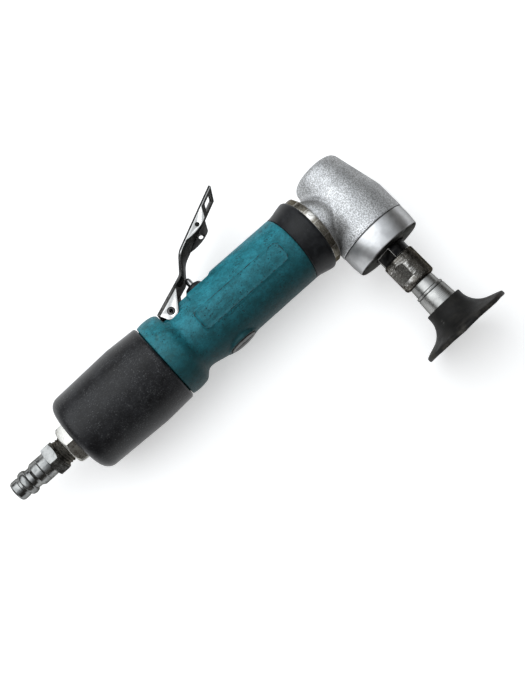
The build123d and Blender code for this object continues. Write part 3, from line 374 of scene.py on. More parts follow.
def away_from(value, middle):
    """How far a value lies from a middle, on either side."""
    return merged(merged(value, middle, by="SUBTRACT"), 0.0, by="ABSOLUTE")


def towards(finish, direction):
    """Place along a direction, in metres."""
    inputs = {0: placed(finish), 1: direction}
    return node(finish.node_tree, "VectorMath", inputs, "Value", operation="DOT_PRODUCT")


def scattered(finish, size):
    """Distance from scattered points that lie about size apart, in metres."""
    return node(finish.node_tree, "TexVoronoi", {"Vector": placed(finish), "Scale": 1 / size})


def spots(finish, size, radius, share):
    """Round dots of a radius, in a share of the cells of a scattered grid; sizes in metres."""
    distance = scattered(finish, size)
    chance = node(finish.node_tree, "SeparateColor", {"Color": distance.node.outputs["Color"]})
    dots = graded(distance, radius / size, 0.5 * radius / size)
    return merged(dots, graded(chance, share, share - 0.02))


def hairlines(finish, size, stretch, turn, twist, faint, full):
    """Fine wandering lines along a direction, from faint at their sides to full in the middle."""
    where = placed(finish, (stretch, 1, 1), turn)
    return graded(away_from(noise(finish, size, detail=2.0, where=where, twist=twist), 0.5), faint, full)


teal = new_finish("teal_composite", 0.0, 0.5, Specular_IOR_Level=0.22)
mottle = noise(teal, 5 * mm, detail=9.0, rough=0.72)
grain = noise(teal, 0.45 * mm, detail=3.0)
zone = noise(teal, 11 * mm, detail=3.0)
smear = noise(teal, 2.2 * mm, detail=7.0, rough=0.75)
speckle = graded(noise(teal, 0.9 * mm, detail=3.0, rough=0.7), 0.5, 0.7)
rubs = graded(noise(teal, 0.8 * mm, where=placed(teal, (0.3, 1, 1), 0.9)), 0.68, 0.76)
edges = graded(node(teal.node_tree, "NewGeometry", {}, "Pointiness"), 0.515, 0.56)
heel = merged(graded(towards(teal, along_motor), valve_x - 16 * mm, valve_x - 30 * mm), graded(smear, 0.38, 0.66))
scores = merged(*(hairlines(teal, 3 * mm, 0.35, turn, 1.2, 0.02, 0.008) for turn in (0.5, -0.4)), by="MAXIMUM")
scores = merged(scores, graded(zone, 0.48, 0.6))
pits = merged(spots(teal, 1.5 * mm, 0.38 * mm, 0.6), graded(zone, 0.4, 0.56))
# Painted shade: the grip darkens towards its underside, with a smeared edge.
underside = merged(towards(teal, up_spindle), graded(smear, 0.3, 0.7, -2 * mm, 2 * mm), by="ADD")
painted_underside_shade = graded(underside, axis_y + 8 * mm, axis_y - 18 * mm)
lay(
    teal, (0.0105, 0.14, 0.173),
    (graded(mottle, 0.34, 0.68), (0.027, 0.268, 0.338)),
    (speckle, 0.55, (0.008, 0.062, 0.078)),
    (rubs, 0.3, (0.06, 0.26, 0.3)),
    (edges, 0.45, (0.07, 0.22, 0.24)),
    (heel, 0.4, (0.03, 0.085, 0.07)),
    (scores, 0.55, (0.006, 0.04, 0.05)),
    (pits, 0.9, (0.004, 0.015, 0.018)),
    (painted_underside_shade, 0.78, (0.009, 0.029, 0.029)),
    sheen=(grain, 0.42, 0.62), relief=bumped(pits, -0.12 * mm, bumped(grain, 0.035 * mm)),
)
fit(grip, teal, "teal_composite", "housing", "motor_housing")

# Panel line: thin raised outline of a blank panel along the side of the grip.
# Moulded with the grip; its teal is darker than the grip's as painted shade along the thin ridge, clouded with dirt.
collar_low, collar_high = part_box("front_collar")
collar_rear = collar_low.x
grip_radius = 18.62 * mm
panel_length = 51.8 * mm
panel_width = 10.3 * mm
panel_corner = 2.25 * mm
panel_x = collar_rear - 33.2 * mm
panel_rise = -1.1 * mm
panel_wire = 0.36 * mm
panel = added("panel_line", bpy.ops.mesh.primitive_plane_add, size=1)
panel.scale = (panel_length, panel_width, 1)
bpy.ops.object.transform_apply()
with bench(panel):
    bpy.ops.mesh.bevel(offset=panel_corner, segments=6, affect="VERTICES")
    bpy.ops.mesh.delete(type="ONLY_FACE")
    bpy.ops.mesh.select_all(action="SELECT")
    bpy.ops.mesh.subdivide(number_cuts=5)
for corner in panel.data.vertices:
    turn = (corner.co.y + panel_rise) / grip_radius
    corner.co = (panel_x + corner.co.x, axis_y + grip_radius * sin(turn), grip_radius * cos(turn))
bpy.ops.object.convert(target="CURVE")
panel.data.bevel_depth = panel_wire
panel.data.bevel_resolution = 3
bpy.ops.object.convert(target="MESH")
smooth(panel, 60)
# Painted shade: the line's teal is darkened so the thin ridge reads as a dark outline; the dirt pattern clouds it
# lighter.
teal_line = new_finish("teal_line", 0.0, 0.5, Specular_IOR_Level=0.3)
dirt = noise(teal_line, 3 * mm, detail=7.0, rough=0.7)
lay(teal_line, (0.005, 0.03, 0.037), (graded(dirt, 0.4, 0.6), (0.014, 0.14, 0.174)), sheen=(dirt, 0.42, 0.6))
fit(panel, teal_line, "teal_composite", "housing")

# Front collar: black rubbery sleeve, flared towards the head, that ends the grip.
# Moulded on its own and pressed over the front of the housing.


def eased(corners, steps):
    """An outline of stations, each rounded by the radius that stands third in it, where one does."""
    outline = []
    for number, (run, radius, *rounding) in enumerate(corners):
        if not rounding:
            outline.append((run, radius))
            continue
        corner = Vector((run, radius))
        back, ahead = ((Vector(corners[k][:2]) - corner).normalized() for k in (number - 1, number + 1))
        half = back.angle(ahead) / 2
        centre = corner + (back + ahead).normalized() * rounding[0] / sin(half)
        start = corner + back * rounding[0] / tan(half) - centre
        end = corner + ahead * rounding[0] / tan(half) - centre
        outline += [tuple(centre + start.slerp(end, k / steps) * rounding[0]) for k in range(steps + 1)]
    return outline


def turned(name, line, corners, sides=128, steps=5):
    """A piece from the lathe: a ring drawn out along a line, from station to station of an outline."""
    centre, axis = line
    (run, radius), *stations = eased(corners, steps)
    piece = added(
        name, bpy.ops.mesh.primitive_circle_add,
        vertices=sides, radius=radius,
        location=centre + axis * run, rotation=axis.to_track_quat("Z", "Y").to_euler(),
    )
    with bench(piece):
        for next_run, next_radius in stations:
            bpy.ops.mesh.extrude_edges_move(TRANSFORM_OT_translate={"value": axis * (next_run - run)})
            ratio = next_radius / radius
            bpy.ops.transform.resize(value=(ratio, ratio, ratio), center_override=centre + axis * next_run)
            run, radius = next_run, next_radius
        bpy.ops.mesh.select_all(action="SELECT")
        bpy.ops.mesh.remove_doubles(threshold=weld)
        bpy.ops.mesh.fill_holes(sides=0)
        bpy.ops.mesh.select_all(action="SELECT")
        bpy.ops.mesh.normals_make_consistent(inside=False)
    return piece


def swell(start, end, slopes, steps):
    """Points of a smooth curve between two stations, with a slope at each end."""
    span = end[0] - start[0]
    curve = []
    for k in range(steps + 1):
        t = k / steps
        height = start[1] * (1 + 2 * t) * (1 - t) ** 2 + end[1] * t * t * (3 - 2 * t)
        height += span * (slopes[0] * t * (1 - t) ** 2 - slopes[1] * t * t * (1 - t))
        curve.append((start[0] + span * t, height))
    return curve


collar_front = collar_high.x
collar_peak = collar_high.y - axis_y
collar_seat = 16.95 * mm
collar_lip = 1.9 * mm
collar_seam = 0.3 * mm
lip_rise = 0.2 * mm
flare = swell((collar_rear + collar_seam, grip_radius), (collar_front - collar_lip, collar_peak), (0, 0.12), 14)
collar = turned("front_collar_sleeve", motor_line, [
    (collar_rear, collar_seat), (collar_rear, grip_radius - collar_seam), *flare,
    (collar_front, collar_peak + lip_rise, 1.5 * mm), (collar_front, collar_seat, 0.2 * mm), (collar_rear, collar_seat),
])
smooth(collar)

collar_rubber = new_finish("collar_rubber", 0.0, 0.38, Specular_IOR_Level=0.2)
scuffs = noise(collar_rubber, 5 * mm, detail=7.0, rough=0.7)
fine = noise(collar_rubber, 0.3 * mm, detail=3.0)
dust = merged(spots(collar_rubber, 0.8 * mm, 0.16 * mm, 0.3), graded(scuffs, 0.46, 0.62))
lay(
    collar_rubber, (0.008, 0.0084, 0.0095),
    (graded(scuffs, 0.4, 0.72), (0.022, 0.0235, 0.026)),
    (dust, 0.5, (0.12, 0.12, 0.12)),
    sheen=(scuffs, 0.32, 0.5), relief=bumped(fine, 0.03 * mm),
)
fit(collar, collar_rubber, "collar_rubber", "housing", "front_collar")

# Muffler cap: black shell behind the grip that quiets the exhaust, vented round the inlet.
# Moulded composite, clamped by the inlet bushing, filmed with grit and specked with dust.


def cut(piece, tool, operation="DIFFERENCE"):
    """Cut a piece with a tool solid, which is used up."""
    worked(piece, "BOOLEAN", operation=operation, object=tool, solver="EXACT")
    bpy.data.objects.remove(tool)


cap_low, cap_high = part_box("muffler_cap")
muffler_rear = cap_low.x
muffler_front = cap_high.x
muffler_peak = cap_high.y - axis_y
muffler_peak_x = muffler_front - 17.2 * mm
muffler_rear_radius = 20.9 * mm
muffler_front_radius = 21.5 * mm
muffler_bore = 18.2 * mm
muffler_floor = 4.0 * mm
inlet_hole = 9.55 * mm
muffler = turned("muffler_shell", motor_line, [
    (muffler_rear, inlet_hole),
    (muffler_rear, muffler_rear_radius, 5.4 * mm),
    (muffler_peak_x, muffler_peak, 0.8 * mm),
    (muffler_front, muffler_front_radius, 1.6 * mm),
    (muffler_front, muffler_bore, 0.3 * mm),
    (muffler_rear + muffler_floor, muffler_bore),
    (muffler_rear + muffler_floor, inlet_hole),
    (muffler_rear, inlet_hole),
], steps=8)
vent_count = 10
vent_radius = 1.6 * mm
vent_circle = 13.23 * mm
vent_reach = 1.5 * muffler_floor
vents = []
for number in range(vent_count):
    angle = 2 * pi * number / vent_count
    centre = motor_centre + Vector((0, cos(angle), sin(angle))) * vent_circle
    vents.append(plug((centre, along_motor), vent_radius, muffler_rear - vent_reach, muffler_rear + vent_reach, 32))
cut(muffler, join(vents))
smooth(muffler)

muffler_black = new_finish("black_composite", 0.0, 0.36, Specular_IOR_Level=0.22)
haze = noise(muffler_black, 10 * mm, detail=9.0, rough=0.75)
grit = noise(muffler_black, 0.7 * mm, detail=5.0, rough=0.85)
fine = noise(muffler_black, 0.35 * mm, detail=3.0)
film = merged(graded(grit, 0.5, 0.68), graded(haze, 0.36, 0.62, 0.35, 1.0))
dust = merged(spots(muffler_black, 0.85 * mm, 0.3 * mm, 0.75), 0.6)
dust = merged(dust, spots(muffler_black, 1.7 * mm, 0.34 * mm, 0.45), by="MAXIMUM")
dust = merged(dust, graded(noise(muffler_black, 9 * mm), 0.38, 0.62, 0.3, 1.0))
scratches = merged(hairlines(muffler_black, 7 * mm, 0.5, 0.6, 0.8, 0.007, 0.003), graded(haze, 0.5, 0.62))
lay(
    muffler_black, (0.008, 0.008, 0.009),
    (graded(haze, 0.38, 0.7), (0.022, 0.0228, 0.0255)),
    (film, 0.65, (0.085, 0.086, 0.089)),
    (dust, 0.5, (0.17, 0.172, 0.176)),
    (scratches, 0.35, (0.12, 0.12, 0.12)),
    sheen=(haze, 0.3, 0.42), relief=bumped(fine, 0.03 * mm),
)
fit(muffler, muffler_black, "black_composite", "housing", "muffler_cap")

# Inlet bushing: hexagon that clamps the muffler and takes the hose nipple's thread.
# Turned from hexagon bar, chamfered, and plated with bright nickel.


def bevelled(piece, width, segments=2, angle=28.0, edge=None):
    """Break the sharp edges of a piece, which may take a finish of their own."""
    if edge:
        piece.data.materials.append(edge)
    worked(
        piece, "BEVEL",
        width=width, segments=segments, limit_method="ANGLE", angle_limit=radians(angle),
        use_clamp_overlap=True, material=len(piece.data.materials) - 1 if edge else -1,
    )
    smooth(piece)


def hex_corner(across_flats):
    """Radius of a hexagon's corners."""
    return across_flats / 2 / cos(pi / 6)


def hexagon(name, cad_node, low, high, across_flats, chamfered):
    """A hexagon on the motor axis, turned like the CAD node's, inside a chamfered outline."""
    spread = [(v.co.y - axis_y, v.co.z) for v in frame["nodes"][cad_node].data.vertices if low < v.co.x < high]
    corner = max(spread or [(1, 0)], key=lambda p: hypot(*p))
    piece = plug(motor_line, hex_corner(across_flats), low, high, 6, name)
    first = max(piece.data.vertices, key=lambda v: v.co.y)
    turn = atan2(corner[1], corner[0]) - atan2(first.co.z, first.co.y - axis_y)
    piece.data.transform(
        Matrix.Translation(motor_centre) @ Matrix.Rotation(turn, 4, "X") @ Matrix.Translation(-motor_centre)
    )
    cut(piece, turned("chamfer", motor_line, chamfered), "INTERSECT")
    return piece


bush_low, bush_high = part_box("inlet_bushing")
bush_rear = bush_low.x
bush_front = muffler_rear
bush_flats = 19.0 * mm
bush_face = bush_flats / 2 - 0.4 * mm
bush_bevel = 1.7 * mm
bush_stem = 9.4 * mm
thread_bore = 6.7 * mm
thread_reach = 8 * mm
air_way = 5 * mm
overrun = 1 * mm
bushing = hexagon("inlet_bushing_hex", "inlet_bushing", bush_rear, bush_front, bush_flats, [
    (bush_rear, bush_face), (bush_rear + bush_bevel, hex_corner(bush_flats)), (bush_front, hex_corner(bush_flats)),
])
bushing_stem = turned("bushing_stem", motor_line, [(bush_front - overrun, bush_stem), (bush_high.x, bush_stem)])
cut(bushing, bushing_stem, "UNION")
inlet_bore = turned("inlet_bore", motor_line, [
    (bush_rear - overrun, thread_bore), (bush_rear + thread_reach, thread_bore),
    (bush_rear + thread_reach, air_way), (bush_high.x + overrun, air_way),
])
cut(bushing, inlet_bore)


def plated(name, dull, bright, stain, roughness, stained=0.6):
    """Nickel plating: bright, cloudy with handling, with brown stain in the low spots."""
    finish = new_finish(name, 1.0, roughness, Specular_Tint=(0.25, 0.24, 0.22, 1))
    clouds = noise(finish, 3.5 * mm, detail=6.0, rough=0.65)
    marks = noise(finish, 0.35 * mm, detail=3.0, where=placed(finish, (1, 0.12, 0.12)))
    stains = graded(noise(finish, 2 * mm, detail=7.0, rough=0.7), 0.5, 0.7)
    coats = (graded(clouds, 0.35, 0.65), bright), (stains, stained, stain)
    sheen = (clouds, roughness - 0.08, roughness + 0.14)
    lay(finish, dull, *coats, sheen=sheen, relief=bumped(marks, 0.02 * mm))
    return finish


worn_edge = inner_metal("worn_edge", (0.4, 0.39, 0.37), (0.66, 0.65, 0.62), 0.2 * mm, 0.3)
bright_nickel = plated("bright_nickel", (0.5, 0.495, 0.47), (0.62, 0.615, 0.585), (0.14, 0.115, 0.085), 0.24, 0.4)
fit(bushing, bright_nickel, "plated_steel", "housing", "inlet_bushing")
bevelled(bushing, 0.16 * mm, segments=3, edge=worn_edge)

# Hose nipple: quick-connect plug with a locking bead, a hexagon and a pipe thread.
# Turned in one piece from steel bar and plated, duller than the bushing from use.
nipple_low, nipple_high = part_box("air_nipple")
nipple_tip = nipple_low.x
nipple_bore = 3.6 * mm
tip_radius = 5.2 * mm
tip_nose = 0.8 * mm
tip_nose_drop = 0.5 * mm
tip_land = 3.6 * mm
land_step = 0.3 * mm
land_drop = 0.25 * mm
bead_radius = 6.26 * mm
bead_x = nipple_tip + 6.9 * mm
bead_half = 1.9 * mm
bead_sharpness = 0.8
body_x = nipple_tip + 12.6 * mm
body_radius = 6.18 * mm
body_slope = 1.6 * mm
body_line = body_x + 3.7 * mm
line_half = 0.3 * mm
line_depth = 0.2 * mm
hex_x = nipple_tip + 20.8 * mm
hex_length = 5.6 * mm
hex_end = hex_x + hex_length
hex_bevel = 0.7 * mm
nipple_flats = 15.0 * mm
nipple_face = nipple_flats / 2 - 0.2 * mm
core_x = hex_end + 0.2 * mm
core_radius = body_radius - 0.3 * mm
thread_radius = 6.7 * mm
thread_pitch = 1.41 * mm
thread_depth = 0.5 * mm
bead = []
for k in range(-6, 7):
    turn = pi * k / 12
    rise = (bead_radius - tip_radius) * cos(turn) ** bead_sharpness
    bead.append((bead_x + bead_half * sin(turn), tip_radius + rise))
nipple = turned("hose_nipple", motor_line, [
    (nipple_tip, nipple_bore), (nipple_tip, tip_radius - tip_nose_drop, 0.2 * mm),
    (nipple_tip + tip_nose, tip_radius, 0.3 * mm),
    (nipple_tip + tip_land, tip_radius), (nipple_tip + tip_land + land_step, tip_radius - land_drop),
    *bead,
    (body_x - body_slope, tip_radius, 0.2 * mm), (body_x, body_radius, 0.4 * mm),
    (body_line - line_half, body_radius), (body_line, body_radius - line_depth), (body_line + line_half, body_radius),
    (core_x, core_radius),
    (nipple_high.x, thread_radius - thread_depth), (nipple_high.x, nipple_bore), (nipple_tip, nipple_bore),
], sides=96, steps=3)
nipple_hex = hexagon("nipple_hex", "air_nipple", hex_x, hex_end, nipple_flats, [
    (hex_x, nipple_face), (hex_x + hex_bevel, hex_corner(nipple_flats)),
    (hex_end - hex_bevel, hex_corner(nipple_flats)), (hex_end, nipple_face),
])
nipple_way = nipple_bore + overrun
cut(nipple_hex, turned("nipple_way", motor_line, [(hex_x - overrun, nipple_way), (hex_end + overrun, nipple_way)]))
nipple_nickel = plated("nipple_nickel", (0.17, 0.174, 0.174), (0.32, 0.325, 0.32), (0.05, 0.048, 0.045), 0.22, 0.35)
for piece in (nipple, nipple_hex):
    piece.data.materials.append(nipple_nickel)
nipple.data.materials.append(worn_edge)
bevelled(nipple_hex, 0.12 * mm, edge=worn_edge)
cut(nipple, nipple_hex, "UNION")
smooth(nipple)
fit(nipple, nipple_nickel, "plated_steel", "housing", "air_nipple")

# Pipe thread: the stretch of the nipple's thread that shows between the two hexagons.
# Cut as one V-shaped ridge that winds round the nipple, in a darker, stained plating.
thread_start = hex_end - 0.4 * mm
thread_turns = 5
thread_foot = 0.47 * thread_pitch
steps_a_turn = 48
thread = added(
    "nipple_thread", bpy.ops.mesh.primitive_circle_add,
    vertices=3, radius=thread_pitch / 2, location=(thread_start, axis_y + thread_radius - thread_depth / 2, 0),
)
crest, *feet = sorted(thread.data.vertices, key=lambda v: -v.co.y)
crest.co = (thread_start, axis_y + thread_radius, 0)
for foot, side in zip(feet, (-1, 1)):
    foot.co = (thread_start + side * thread_foot, axis_y + thread_radius - thread_depth, 0)
thread.data.transform(Matrix.Translation(-motor_centre))
worked(
    thread, "SCREW",
    axis="X", angle=2 * pi * thread_turns, screw_offset=thread_pitch * thread_turns,
    steps=steps_a_turn * thread_turns, render_steps=steps_a_turn * thread_turns, use_normal_calculate=True,
)
thread.data.transform(Matrix.Translation(motor_centre))
with bench(thread):
    bpy.ops.mesh.fill_holes(sides=4)
    bpy.ops.mesh.select_all(action="SELECT")
    bpy.ops.mesh.normals_make_consistent(inside=False)
smooth(thread, 40)
thread_steel = plated("thread_steel", (0.06, 0.056, 0.05), (0.2, 0.19, 0.17), (0.025, 0.022, 0.018), 0.36)
fit(thread, thread_steel, "plated_steel", "housing")

# Speed regulator: slotted disc on the underside that sets the air flow.
# Turned from aluminium bar, grey with wear; its hub turns in the valve's bore on a seal.


def block(middle, size, turn=0.0):
    """A cutting block, turned about the way up the spindle."""
    return added("block", bpy.ops.mesh.primitive_cube_add, size=1, location=middle, rotation=(0, turn, 0), scale=size)


knob_low, knob_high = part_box("regulator_knob")
knob_face = knob_low.y
knob_radius = (knob_high.x - knob_low.x) / 2
knob_disc = 4.15 * mm
knob_hub = 3.96 * mm
knob_slot = 1.4 * mm
knob_slot_depth = 1.0 * mm
pip = 0.2 * mm
knob = turned("speed_regulator", valve_line, [
    (knob_face, pip), (knob_face, knob_radius, 0.4 * mm), (knob_face + knob_disc, knob_radius, 0.2 * mm),
    (knob_face + knob_disc, knob_hub), (knob_high.y, knob_hub, 0.3 * mm), (knob_high.y, pip),
], sides=96)
cut(knob, block((valve_x, knob_face, 0), (1.5 * knob_radius, 2 * knob_slot_depth, knob_slot)))
bevelled(knob, 0.12 * mm)
knob_metal = inner_metal("worn_aluminium", (0.032, 0.033, 0.032), (0.1, 0.102, 0.098), 0.3 * mm, 0.45)
fit(knob, knob_metal, "turned_aluminium", "regulator", "regulator_knob")

# Valve spring: coil that stands on the regulator and pushes the valve back to its seat.
# Wound from dark spring steel wire; it shortens as the valve goes down.
spring = copy_of("valve_spring", "valve_return_spring")
smooth(spring, 40)
fit(spring, spring_steel, "pin_steel", "housing", "valve_spring")
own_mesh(spring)

# Stem bushing: black domed guide on the flat of the grip, round the valve's stem.
# Moulded in hard composite and pressed into the valve's bore.
guide_low, guide_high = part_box("stem_bushing")
guide_radius = (guide_high.x - guide_low.x) / 2
guide_bore = 1.76 * mm
guide_stem = 4.45 * mm
stem_guide = turned("stem_guide", valve_line, [
    (guide_low.y, guide_bore), (guide_low.y, guide_stem), (valve_flat_y, guide_stem), (valve_flat_y, guide_radius),
    (guide_high.y, guide_radius, 1.9 * mm), (guide_high.y, guide_bore, 0.3 * mm), (guide_low.y, guide_bore),
], sides=64)
smooth(stem_guide)
fit(stem_guide, muffler_black, "black_composite", "housing", "stem_bushing")

# Valve stem: push rod that the lever presses down, with a domed head and a poppet inside.
# Ground from bright steel, grey where the lever rubs it.
stem_low, stem_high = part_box("valve_stem")
poppet_radius = (stem_high.x - stem_low.x) / 2
poppet_top = stem_low.y + 2.0 * mm
stem_radius = 1.7 * mm
dome_y = stem_high.y - stem_radius
dome = [(dome_y + stem_radius * sin(pi * k / 16), stem_radius * cos(pi * k / 16)) for k in range(8)]
valve_stem = turned("push_rod", valve_line, [
    (stem_low.y, pip), (stem_low.y, poppet_radius), (poppet_top, poppet_radius), (poppet_top, stem_radius),
    *dome, (stem_high.y, pip / 2),
], sides=48)
smooth(valve_stem, 40)
rod_steel = inner_metal("rod_steel", (0.3, 0.3, 0.3), (0.62, 0.62, 0.62), 0.25 * mm, 0.3)
fit(valve_stem, rod_steel, "bright_steel", "valve", "valve_stem")

# Lever pin: slit spring pin through the boss of the housing and both ears of the lever.
# Rolled from dark spring steel, with rounded ends and a hole through it.
pivot = Vector(joint_place("lever_pivot"))
pin_low, pin_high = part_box("lever_pin")
pin_radius = (pin_high.x - pin_low.x) / 2
pin_bore = 1.0 * mm
pin_slit = 0.5 * mm
pin_round = 0.4 * mm
across_tool = Vector((0, 0, 1))
pin = turned("lever_roll_pin", (pivot, across_tool), [
    (pin_low.z, pin_bore), (pin_low.z, pin_radius, pin_round), (pin_high.z, pin_radius, pin_round),
    (pin_high.z, pin_bore), (pin_low.z, pin_bore),
], sides=64)
cut(pin, block(pivot - up_spindle * pin_radius, (pin_slit, 2 * pin_radius, 2 * pin_high.z + overrun)))
smooth(pin)
fit(pin, spring_steel, "pin_steel", "housing", "lever_pin")

# Throttle lever: stamped channel with a kinked web, two ears on the pin and two lobes.
# Bare steel, pitted on its outer sides, which are bright below the line of the web and painted dark as shade above it;
# its other faces are dark, partly old oil and partly painted shade.


def flat_copy(name, piece_name):
    """A worked copy of a CAD node whose flat faces are whole again."""
    piece = copy_of(name, piece_name)
    with bench(piece):
        bpy.ops.mesh.dissolve_limited(angle_limit=radians(0.6))
    return piece


lever = flat_copy("throttle_lever", "throttle_lever_stamping")
lever_steel = new_finish("lever_steel", 1.0, 0.25)
clouds = noise(lever_steel, 4 * mm, detail=6.0, rough=0.6)
drawn = noise(lever_steel, 0.3 * mm, where=placed(lever_steel, (0.12, 1, 1), -0.45))
pits = merged(spots(lever_steel, 1.1 * mm, 0.2 * mm, 0.35), graded(noise(lever_steel, 5 * mm), 0.46, 0.6))
tip = max(lever.data.vertices, key=lambda v: v.co.y).co
plates = []
for point, slope, start in ((pivot, 20.7, -3.3 * mm), (tip, 25.1, 1.1 * mm)):
    below_web = Vector((sin(radians(slope)), -cos(radians(slope)), 0))
    start += below_web.dot(point)
    plates.append(graded(towards(lever_steel, below_web), start - 0.15 * mm, start + 0.15 * mm))
front_part = graded(towards(lever_steel, along_motor), pivot.x + 21 * mm, pivot.x + 24 * mm)
# Painted shade: on the outer sides the steel is bright only below a line along the web, and painted dark above it.
dark = mixed(graded(clouds, 0.38, 0.7), (0.02, 0.02, 0.02), (0.08, 0.078, 0.074))
bright = mixed(graded(clouds, 0.35, 0.7), (0.64, 0.64, 0.63), (0.8, 0.8, 0.79))
lay(
    lever_steel, dark, (mixed(front_part, *plates), bright), (pits, 0.6, (0.1, 0.09, 0.08)),
    sheen=(drawn, 0.2, 0.34), relief=bumped(drawn, 0.006 * mm),
)
fit(lever, lever_steel, "lever_steel", "lever", "throttle_lever")

oiled_steel = new_finish("oiled_steel", 1.0, 0.4, Specular_Tint=(0.2, 0.2, 0.2, 1))
film = noise(oiled_steel, 5 * mm, detail=5.0, rough=0.5)
lay(
    oiled_steel, (0.09, 0.089, 0.086), (graded(film, 0.38, 0.72), (0.135, 0.133, 0.128)),
    sheen=(film, 0.3, 0.52), relief=bumped(film, 0.03 * mm),
)
# Painted shade: all but the outer sides take a darker steel, partly old oil and partly painted shade.
lever.data.materials.append(oiled_steel)
lever_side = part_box("throttle_lever")[1].z
for face in lever.data.polygons:
    outer_side = abs(face.center.z) > lever_side - 0.5 * mm and abs(face.normal.z) > 0.75
    face.material_index = 0 if outer_side else 1
bevelled(lever, 0.14 * mm, angle=40, edge=worn_edge)

# Lock ring: jam ring that holds the head's angle, run up against the grip.
# Turned steel, browned with age, with shallow wrench flats, one of them bright with a painted highlight.
lock_ring = flat_copy("lock_ring", "lock_ring_nut")


def browned(name, dull, bright, rub, roughness):
    """Worn steel: brown in its low spots and rubbed bright where it is handled."""
    finish = new_finish(name, 1.0, roughness, Specular_Tint=(0.25, 0.24, 0.22, 1))
    clouds = noise(finish, 4 * mm, detail=7.0, rough=0.7)
    lines = noise(finish, 0.4 * mm, where=placed(finish, (1, 0.25, 0.25)))
    coats = (graded(clouds, 0.36, 0.68), bright), (graded(lines, 0.54, 0.7), 0.7, rub)
    sheen = (clouds, roughness - 0.06, roughness + 0.14)
    lay(finish, dull, *coats, sheen=sheen, relief=bumped(clouds, 0.05 * mm, bumped(lines, 0.03 * mm)))
    return finish


def recoat(finish, *coats):
    """Lay more coats over the colour that a finish has."""
    lay(finish, finish.node_tree.nodes["Principled BSDF"].inputs["Base Color"].links[0].from_socket, *coats)


def near(finish, point, radius):
    """Share of a mark round a point on the piece, fading out at a radius."""
    away = node(finish.node_tree, "VectorMath", {0: placed(finish), 1: point}, "Value", operation="DISTANCE")
    return graded(away, radius, radius * 0.3)


ring_steel = browned("ring_steel", (0.1, 0.09, 0.072), (0.25, 0.232, 0.196), (0.46, 0.44, 0.4), 0.34)
ring_low, ring_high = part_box("lock_ring")
ring_radius = ring_high.z
painted_highlight_turn = radians(84)
painted_highlight_flat = (
    (ring_low.x + ring_high.x) / 2,
    axis_y + ring_radius * cos(painted_highlight_turn),
    ring_radius * sin(painted_highlight_turn),
)
# Painted highlight: a bright patch on the flat that faces up, broken up by noise.
rub = near(ring_steel, painted_highlight_flat, 3.3 * mm)
rub = merged(rub, graded(noise(ring_steel, 0.9 * mm), 0.36, 0.52, 0.35, 0.95))
recoat(ring_steel, (rub, (0.8, 0.79, 0.76)))
fit(lock_ring, ring_steel, "ring_steel", "housing", "lock_ring")
bevelled(lock_ring, 0.14 * mm, angle=12, edge=worn_edge)

# Angle head: aluminium casting that carries the bevel gears, with a neck to the motor.
# Cast in sand, so its skin is pebbly; the neck runs into the head in a soft valley, darkened with painted shade.
head_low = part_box("angle_head")[0]
spindle_line = (Vector((0, 0, 0)), up_spindle)
neck_bore = 12.6 * mm
cavity_radius = 15.7 * mm
head = join([
    copy_of("angle_head", "angle_head_casting"),
    plug(motor_line, neck_bore, head_low.x + plug_recess, 0, sides=96),
    plug(spindle_line, cavity_radius, head_low.y + plug_recess, axis_y, sides=96),
])
soft_skin(head, voxel=0.33 * mm, passes=5, size=0.9 * mm, depth=0.12 * mm)


def from_spindle(finish):
    """Distance from the spindle's axis, in metres."""
    return node(finish.node_tree, "VectorMath", {0: placed(finish, (1, 0, 1))}, "Value", operation="LENGTH")


cast = new_finish("cast_aluminium", 1.0, 0.45, Specular_Tint=(0.3, 0.29, 0.27, 1))
pebble_mix = noise(cast, 0.5 * mm, detail=2.0)
lumps = merged(scattered(cast, 0.62 * mm), merged(pebble_mix, 0.9), by="ADD")
patches = noise(cast, 8 * mm, detail=5.0)
round_spindle = from_spindle(cast)
# Painted shade: the crease where the neck meets the head is darkened.
painted_valley_shade = merged(
    graded(round_spindle, 17.9 * mm, 19.0 * mm),
    graded(round_spindle, 22.5 * mm, 19.6 * mm),
    graded(towards(cast, along_motor), -9 * mm, -13 * mm),
    graded(away_from(towards(cast, up_spindle), axis_y), 17 * mm, 12 * mm),
)
lay(
    cast, (0.68, 0.693, 0.712),
    (graded(patches, 0.36, 0.68), (0.84, 0.852, 0.87)),
    (graded(lumps, 0.74, 1.15), 0.52, (0.14, 0.137, 0.128)),
    (painted_valley_shade, 0.6, (0.1, 0.097, 0.09)),
    sheen=(pebble_mix, 0.46, 0.6), relief=bumped(lumps, -0.1 * mm),
)
fit(head, cast, "cast_aluminium", "housing", "angle_head")

# Bearing cap: turned cup under the head that carries the lower spindle bearing.
# Machined aluminium with fine tool lines, screwed into the casting, with a dark line at the joint and painted shade
# over its underside.
cup_low, cup_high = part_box("bearing_cap")
cup_face = cup_low.y
cup_length = 12.2 * mm
cup_joint = cup_face + cup_length
cup_radius = cup_high.x
cup_taper = 0.6 * mm
cup_hole = 8.85 * mm
cup_floor = cup_face + 3.0 * mm
cup_seat = 13.96 * mm
cup_spigot = 15.5 * mm
cup = turned("bearing_cup", spindle_line, [
    (cup_face, cup_hole), (cup_face, cup_radius - cup_taper, 1.2 * mm),
    (cup_face + cup_length / 2, cup_radius, 20 * mm), (cup_joint, cup_radius, 0.3 * mm), (cup_joint, cup_spigot),
    (cup_high.y, cup_spigot), (cup_high.y, cup_seat), (cup_floor, cup_seat), (cup_floor, cup_hole),
    (cup_face, cup_hole),
], sides=160)
smooth(cup)


